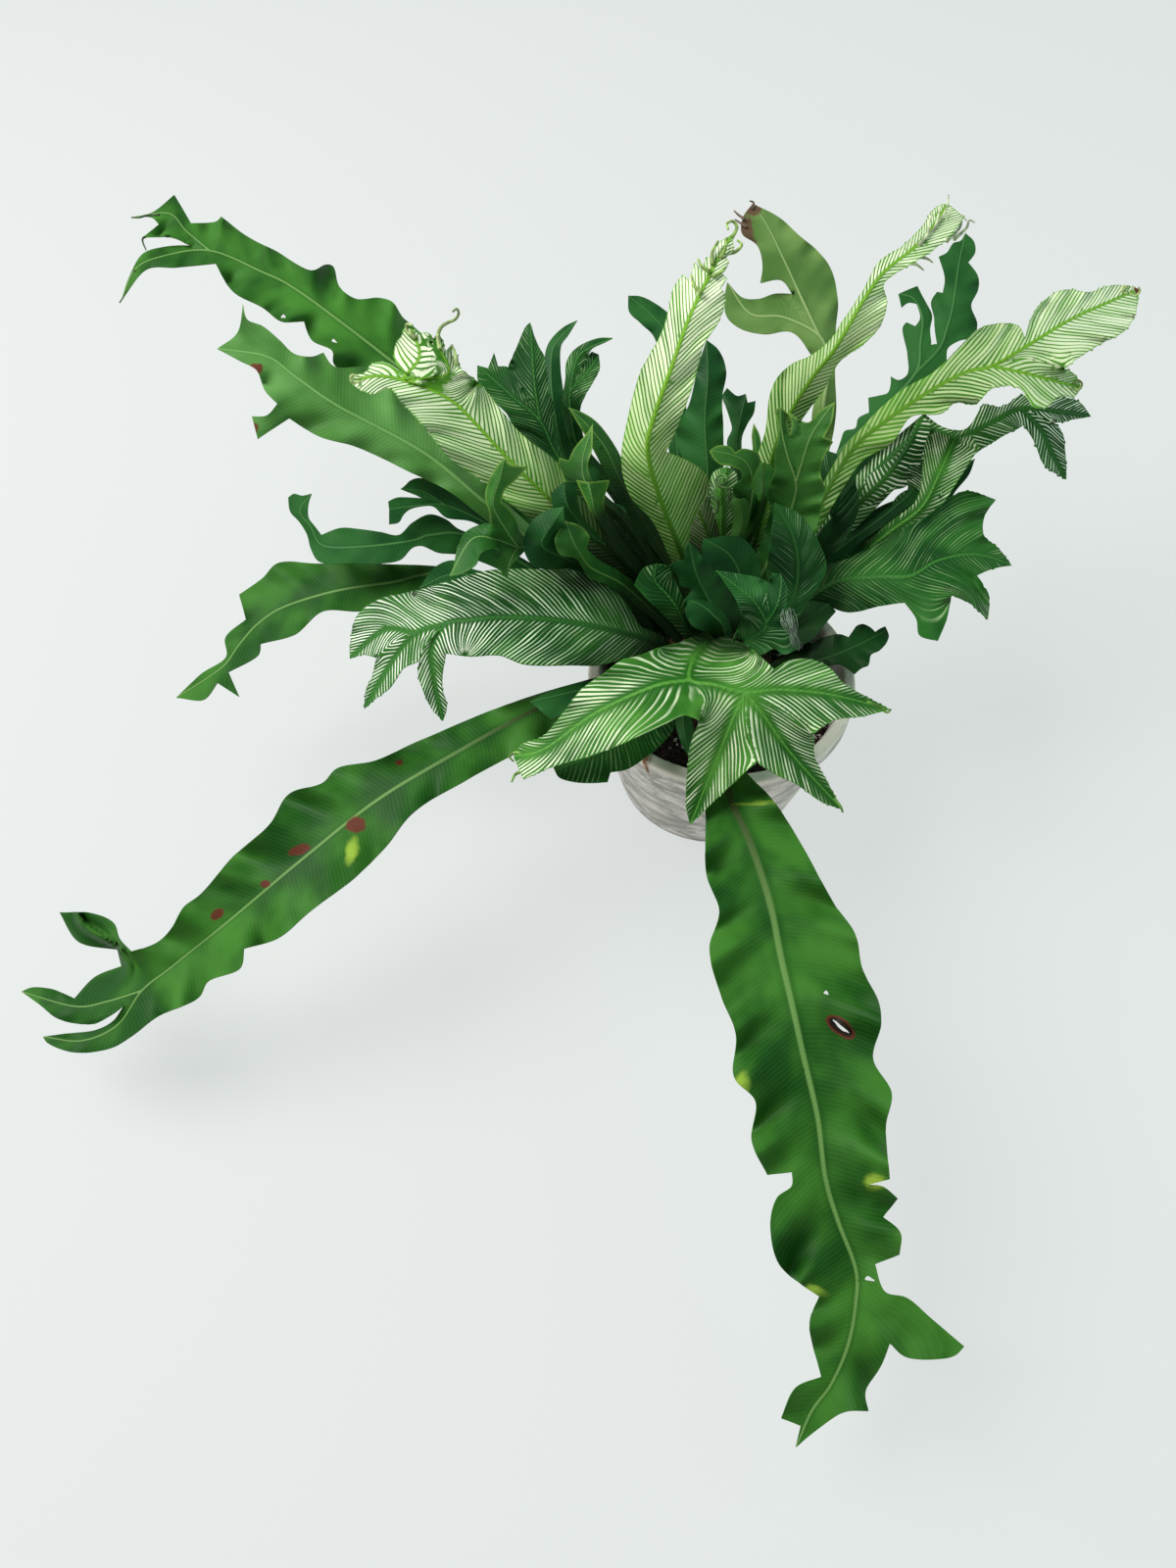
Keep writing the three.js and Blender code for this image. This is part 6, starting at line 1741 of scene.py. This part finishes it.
# Small leaves tucked between the others, too slight to be solids of their own.
# Each springs from the crown like the rest and only its tip comes into the light.
grow(
    "leaf_dark_tip_behind_left", DARK, root=(140, 2), rib=0.7, alone=True,
    ribs=[(0, [(668, 585, 116), (640, 552, 134), (620, 532, 146), (643, 520, 150)])],
    edges=[
        [(606, 545), (596, 530), (607, 520), (620, 512)],
        [(640, 548), (634, 532)],
    ],
)
grow(
    "leaf_crinkled_left", YOUNG, root=(165, 1), waves=(2.5, 9), rib=0.7, alone=True,
    ribs=[(0, [(640, 600, 140), (604, 580, 166), (590, 562, 182), (583, 548, 190), (577, 532, 195)])],
    edges=[
        [(600, 588), (588, 570), (572, 566), (566, 550)],
        [(612, 572), (598, 560), (602, 547), (591, 536)],
    ],
)
grow(
    "leaf_ruffled_dark_back", DARK, root=(125, 2), waves=(2.0, 8), rib=0.7, alone=True,
    ribs=[(0, [(690, 580, 118), (672, 556, 132), (655, 540, 142), (638, 533, 148)])],
    edges=[
        [(660, 566), (648, 552), (640, 546)],
        [(684, 562), (672, 540), (663, 530), (656, 535), (648, 527)],
    ],
)
grow(
    "leaf_dark_over_striped", DARK, root=(172, 3), waves=(1.5, 14), alone=True,
    ribs=[(0, [(660, 630, 112), (630, 600, 124), (600, 578, 134), (575, 566, 140)])],
    edges=[
        [(640, 640), (612, 618), (590, 590), (580, 578)],
        [(668, 600), (640, 580), (612, 566), (590, 560)],
    ],
)
grow(
    "leaf_dark_behind_corner", DARK, root=(146, 2), rib=0.7, alone=True,
    ribs=[(0, [(668, 590, 120), (630, 535, 146), (604, 500, 164), (598, 476, 172)])],
    edges=[
        [(592, 505), (589, 482)],
        [(612, 505), (612, 482), (606, 476)],
    ],
)
grow(
    "leaf_blunt_left", DARK, root=(158, 1), rib=0.7, alone=True,
    ribs=[(0, [(650, 580, 140), (606, 548, 170), (580, 518, 190), (575, 492, 198)])],
    edges=[
        [(580, 532), (566, 520), (563, 504)],
        [(596, 530), (589, 514), (588, 492)],
    ],
)
grow(
    "leaf_dark_middle_back", PLAIN, root=(75, 1), rib=0.7, alone=True,
    ribs=[(0, [(750, 575, 130), (768, 540, 152), (778, 512, 168), (779, 472, 178)])],
    edges=[
        [(770, 512), (765, 492), (768, 478)],
        [(783, 508), (789, 488), (788, 476)],
    ],
)
grow(
    "leaf_small_tip_back", YOUNG, root=(80, 2), waves=(0.6, 14), rib=0.6, alone=True,
    ribs=[(0, [(750, 570, 124), (765, 530, 144), (772, 480, 164), (769, 432, 180)])],
    edges=[
        [(766, 480), (768, 460), (767, 444)],
        [(778, 476), (777, 458), (775, 444)],
    ],
)
grow(
    "leaf_dark_right_back", DARK, root=(38, 4), rib=0.7, alone=True,
    ribs=[(0, [(800, 590, 108), (835, 545, 120), (862, 500, 132), (885, 478, 138), (899, 458, 140)])],
    edges=[
        [(868, 480), (865, 465), (874, 461), (886, 460)],
        [(882, 492), (893, 486), (899, 470)],
    ],
)
grow(
    "leaf_dark_right_blunt", DARK, root=(30, 3), waves=(0.8, 14), rib=0.7, alone=True,
    ribs=[(0, [(820, 590, 118), (870, 550, 134), (910, 520, 146), (934, 495, 152), (931, 466, 156)])],
    edges=[
        [(926, 500), (923, 484), (919, 463)],
        [(938, 506), (944, 484), (943, 469)],
    ],
)
grow(
    "leaf_dark_right_blade", DARK, root=(26, 3), waves=(0.8, 14), rib=0.7, alone=True,
    ribs=[(0, [(820, 600, 116), (880, 565, 130), (930, 540, 138), (965, 505, 144), (995, 468, 146)])],
    edges=[
        [(958, 508), (968, 490), (980, 477)],
        [(968, 512), (976, 500), (989, 484)],
    ],
)
grow(
    "leaf_low_body_middle", DARK, root=(-30, 1), rib=0.7, foot=(0, 45), alone=True,
    ribs=[(0, [(738, 640, 128), (728, 628, 136), (716, 618, 140), (702, 612, 142)])],
    edges=[
        [(724, 646), (708, 640), (700, 626)],
        [(740, 628), (726, 614), (712, 608)],
    ],
)
grow(
    "leaf_striped_fold", CREAM, root=(110, 1), lean=(1.2, 1.2), waves=(1.5, 18), foot=(30, 120), alone=True,
    ribs=[(0, [(738, 590, 124), (724, 550, 146), (708, 510, 168), (690, 470, 190)])],
    edges=[
        [(704, 560), (694, 525), (684, 500), (674, 470), (680, 462)],
        [(748, 560), (742, 530), (730, 500), (722, 488), (704, 474)],
    ],
)
grow(
    "leaf_dark_backdrop", DARK, root=(90, 3), waves=(1.0, 18), alone=True,
    ribs=[(0, [(742, 590, 104), (740, 565, 112), (738, 540, 122), (736, 512, 132)])],
    edges=[
        [(712, 590), (706, 560), (708, 530), (722, 512)],
        [(772, 590), (776, 560), (770, 530), (752, 512)],
    ],
)
grow(
    "leaf_dark_backdrop_left", DARK, root=(160, 4), waves=(1.0, 18), alone=True,
    ribs=[(0, [(690, 620, 96), (670, 600, 104), (650, 575, 112), (636, 556, 118)])],
    edges=[
        [(660, 630), (632, 606), (618, 580), (622, 562)],
        [(712, 600), (696, 574), (670, 556), (650, 548)],
    ],
)
grow(
    "leaf_rolled_bright", FRESH, root=(85, 1), waves=(0.5, 12), rib=0.6, foot=(0, 45), alone=True,
    ribs=[(0, [(752, 580, 128), (754, 548, 150), (757, 530, 162), (756, 510, 176)])],
    edges=[
        [(746, 548), (748, 530), (745, 514), (750, 508)],
        [(758, 550), (764, 530), (764, 514), (760, 508)],
    ],
)
grow(
    "leaf_striped_sail", STRIPED, root=(30, 4), lean=(0.3, 0.3), waves=(1.5, 18), alone=True,
    ribs=[(0, [(830, 580, 112), (872, 520, 136), (903, 488, 150), (926, 456, 162), (941, 424, 170)])],
    edges=[
        [(874, 505), (884, 488), (902, 474), (918, 462), (929, 444), (935, 430)],
        [(905, 502), (925, 496), (940, 472), (946, 448), (950, 434)],
    ],
)
grow(
    "leaf_striped_panel", HERO, root=(14, 4), lean=(0.8, 0.8), waves=(1.5, 18), rib=0.9, alone=True,
    ribs=[(0, [(850, 590, 110), (905, 545, 142), (940, 518, 158), (958, 484, 170), (974, 448, 177)])],
    edges=[
        [(934, 512), (940, 495), (942, 472), (946, 448), (956, 440)],
        [(962, 514), (974, 496), (988, 474), (1000, 456), (990, 444)],
    ],
)
grow(
    "leaf_bud_right", YOUNG, root=(36, 3), rib=0.6, alone=True,
    ribs=[(0, [(820, 580, 112), (866, 520, 128), (893, 480, 142), (906, 450, 152)])],
    edges=[
        [(890, 472), (894, 460), (900, 450)],
        [(908, 468), (915, 462), (914, 450)],
    ],
)
grow(
    "leaf_dark_right_low", DARK, root=(-10, 3), rib=0.7, alone=True,
    ribs=[(0, [(778, 650, 112), (808, 640, 118), (832, 626, 122), (846, 616, 124)])],
    edges=[
        [(790, 638), (808, 627), (826, 614)],
        [(790, 660), (815, 659), (830, 652), (838, 642), (846, 632), (853, 624)],
    ],
)
grow(
    "leaf_striped_low_right", FAINT, root=(22, 3), rib=0.6, alone=True,
    ribs=[(0, [(830, 590, 112), (880, 548, 130), (915, 522, 144), (935, 502, 150)])],
    edges=[
        [(908, 520), (914, 508), (926, 500)],
        [(926, 530), (938, 520), (942, 506)],
    ],
)


# Threads: the crested tips run out into fine curls, two young coils stand in the crown, a tuft of
# grey hair hangs on a small leaf and one dry root lies over the lip of the pot.
# Each is a soft round strand that thins to its end, held where it grows from its leaf or the mix.
STRAND_STEP = 1.5
STRAND_SIDES = 7
COIL_POINTS = 16
COIL_STEP = 0.7
COIL_START = 1.6
HAIRS = 18


def strands(name, tone, slot, thick, thin, lines):
    """Thin curled strands as one piece, each laid through points of the picture."""
    points, faces = [], []
    for line in lines:
        path, _ = bend_through([np.array(p, float) for p in line], STRAND_STEP, even=True)
        middle = sight(path[:, 0], path[:, 1], path[:, 2])
        ahead = np.gradient(middle, axis=0)
        ahead /= np.maximum(np.linalg.norm(ahead, axis=1), 1e-9)[:, None]
        first = np.cross(ahead, AHEAD)
        first /= np.maximum(np.linalg.norm(first, axis=1), 1e-9)[:, None]
        second = np.cross(ahead, first)
        start = len(points)
        for i, radius in enumerate(np.linspace(thick, thin, len(middle))):
            for k in range(STRAND_SIDES):
                angle = 2 * math.pi * k / STRAND_SIDES
                push = first[i] * math.cos(angle) + second[i] * math.sin(angle)
                points.append(middle[i] + push * radius)
        for i in range(len(middle) - 1):
            for k in range(STRAND_SIDES):
                low, after = start + i * STRAND_SIDES, (k + 1) % STRAND_SIDES
                high = low + STRAND_SIDES
                faces.append((low + k, low + after, high + after, high + k))
        last = start + (len(middle) - 1) * STRAND_SIDES
        faces.append(tuple(range(start, start + STRAND_SIDES))[::-1])
        faces.append(tuple(range(last, last + STRAND_SIDES)))
    skin = Recipe(name + "_skin", 0.5, 0.3)
    mottle = skin.cloud(skin.place(), 220, 2)
    dull = tuple(c * 0.45 for c in tone)
    skin.colour(skin.blend(skin.spread(mottle, 0.42, 0.62), dull, tone))
    mesh_piece(name, points, faces, skin.material, slot, [])


def coil(across, down, height, reach):
    """The points of a small spiral, from its outside to its heart."""
    points = []
    for step in range(COIL_POINTS):
        turn = step * COIL_STEP
        near = reach - reach * 0.05 * turn * 1.4
        at = turn + COIL_START
        points.append((across + near * math.cos(at), down + near * math.sin(at), height + 0.25 * turn))
    return points


strands("left_tip_curls", (0.50, 0.66, 0.26), "green_striped_cream_leaf", 1.2, 0.6, [
    [(449, 356, 246), (447, 343, 249), (450, 334, 251), (457, 329, 253), (464, 326, 254), (468, 320, 256),
     (466, 315, 258), (462, 318, 258)],
    [(424, 345, 247), (416, 338, 249), (415, 331, 252), (421, 332, 253)],
    [(368, 391, 240), (359, 389, 241), (359, 383, 243), (366, 384, 243)],
    [(466, 372, 240), (464, 360, 242), (461, 352, 243)],
])
strands("upright_tip_curls", (0.42, 0.62, 0.16), "green_striped_cream_leaf", 1.1, 0.5, [
    [(744, 247, 290), (749, 239, 292), (752, 232, 294), (748, 226, 296), (742, 228, 297), (743, 234, 297)],
    [(735, 263, 289), (740, 254, 292), (741, 243, 294)],
    [(727, 270, 288), (727, 257, 291), (733, 246, 293)],
    [(724, 277, 287), (716, 272, 290), (712, 264, 292)],
    [(740, 258, 289), (750, 257, 289), (757, 250, 290), (752, 245, 291)],
    [(728, 282, 286), (738, 276, 286), (743, 267, 287)],
    [(716, 300, 283), (708, 291, 285), (706, 281, 287)],
])
strands("twisted_tip_curls", (0.72, 0.80, 0.50), "green_striped_cream_leaf", 1.1, 0.35, [
    [(938, 250, 268), (947, 238, 270), (948, 226, 273), (952, 217, 276)],
    [(944, 246, 267), (954, 232, 269), (958, 218, 272), (960, 208, 275)],
    [(950, 240, 267), (960, 224, 269), (966, 212, 272), (968, 199, 275)],
    [(953, 240, 265), (964, 229, 267), (966, 218, 270)],
    [(958, 246, 262), (968, 239, 263), (974, 231, 265), (971, 223, 267)],
    [(966, 246, 260), (979, 233, 261), (982, 220, 263), (986, 225, 264)],
    [(974, 244, 258), (986, 233, 259), (989, 225, 261), (995, 227, 261)],
    [(925, 268, 264), (935, 270, 261), (943, 276, 259)],
    [(935, 261, 264), (946, 264, 261), (952, 268, 259)],
])
strands("right_tip_curls", (0.52, 0.66, 0.24), "green_striped_cream_leaf", 1.0, 0.5, [
    [(1150, 300, 204), (1145, 298, 205), (1147, 292, 207), (1152, 295, 207)],
    [(1152, 299, 204), (1158, 302, 203), (1163, 298, 203), (1162, 293, 204)],
    [(1090, 397, 197), (1100, 398, 196), (1104, 392, 197), (1100, 388, 198), (1097, 391, 198)],
])
strands("front_tip_curls", (0.22, 0.42, 0.08), "white_striped_green_leaf", 1.1, 0.5, [
    [(884, 716, 140), (896, 721, 137), (905, 727, 134), (909, 724, 133)],
    [(848, 812, 117), (857, 822, 114), (860, 829, 112)],
    [(536, 770, 139), (526, 768, 138), (520, 772, 137), (524, 777, 136)],
    [(536, 786, 138), (526, 790, 136), (522, 798, 135)],
])
strands("young_coils", (0.16, 0.32, 0.11), "young_yellow_green_leaf", 0.9, 0.5, [
    [(743, 512, 168), (745, 500, 175), *coil(737, 490, 177, 7)],
    [(731, 524, 164), (733, 510, 173), *coil(724, 500, 176, 7)],
])
hair = random.Random("grey_hair")
tuft = []
for _ in range(HAIRS):
    x, y, bend = 799 + hair.uniform(0, 10), 619 + hair.uniform(0, 8), hair.uniform(-3, 4)
    tuft.append([(x, y, 169), (x + bend, y + 9, 171), (x + 4 + bend * 0.3, y + 19, 170),
                 (x + 8 - bend, y + 28, 167), (x + 9 + bend * 0.5, y + 37, 163)])
strands("grey_hair_tuft", (0.20, 0.27, 0.20), "brown_stem", 0.2, 0.12, tuft)
strands("left_frond_tip_threads", (0.06, 0.13, 0.045), "plain_green_leaf", 0.8, 0.4, [
    [(163, 219, 210), (150, 220, 210), (142, 222, 210), (134, 222, 210)],
    [(153, 240, 205), (146, 243, 205), (146, 248, 204), (149, 255, 203)],
    [(138, 276, 196), (132, 288, 192), (127, 301, 188), (122, 309, 185)],
])
strands("dry_root", (0.66, 0.33, 0.20), "brown_stem", 1.1, 0.6, [
    [(663, 766, 96.5), (660, 770, 96.5), (660, 774, 96.5), (657, 777, 96), (659, 782, 91),
     (661, 787, 87), (664, 791, 82.5)],
    [(661, 768, 96.5), (657, 772, 96.5), (656, 776, 96.5)],
])
strands("brown_tip_wisps", (0.16, 0.10, 0.06), "pale_ageing_leaf", 1.0, 0.4, [
    [(762, 232, 205), (756, 228, 206), (750, 224, 207)],
    [(760, 224, 206), (753, 219, 207), (749, 215, 208)],
    [(768, 214, 205), (769, 207, 206), (765, 205, 207)],
])
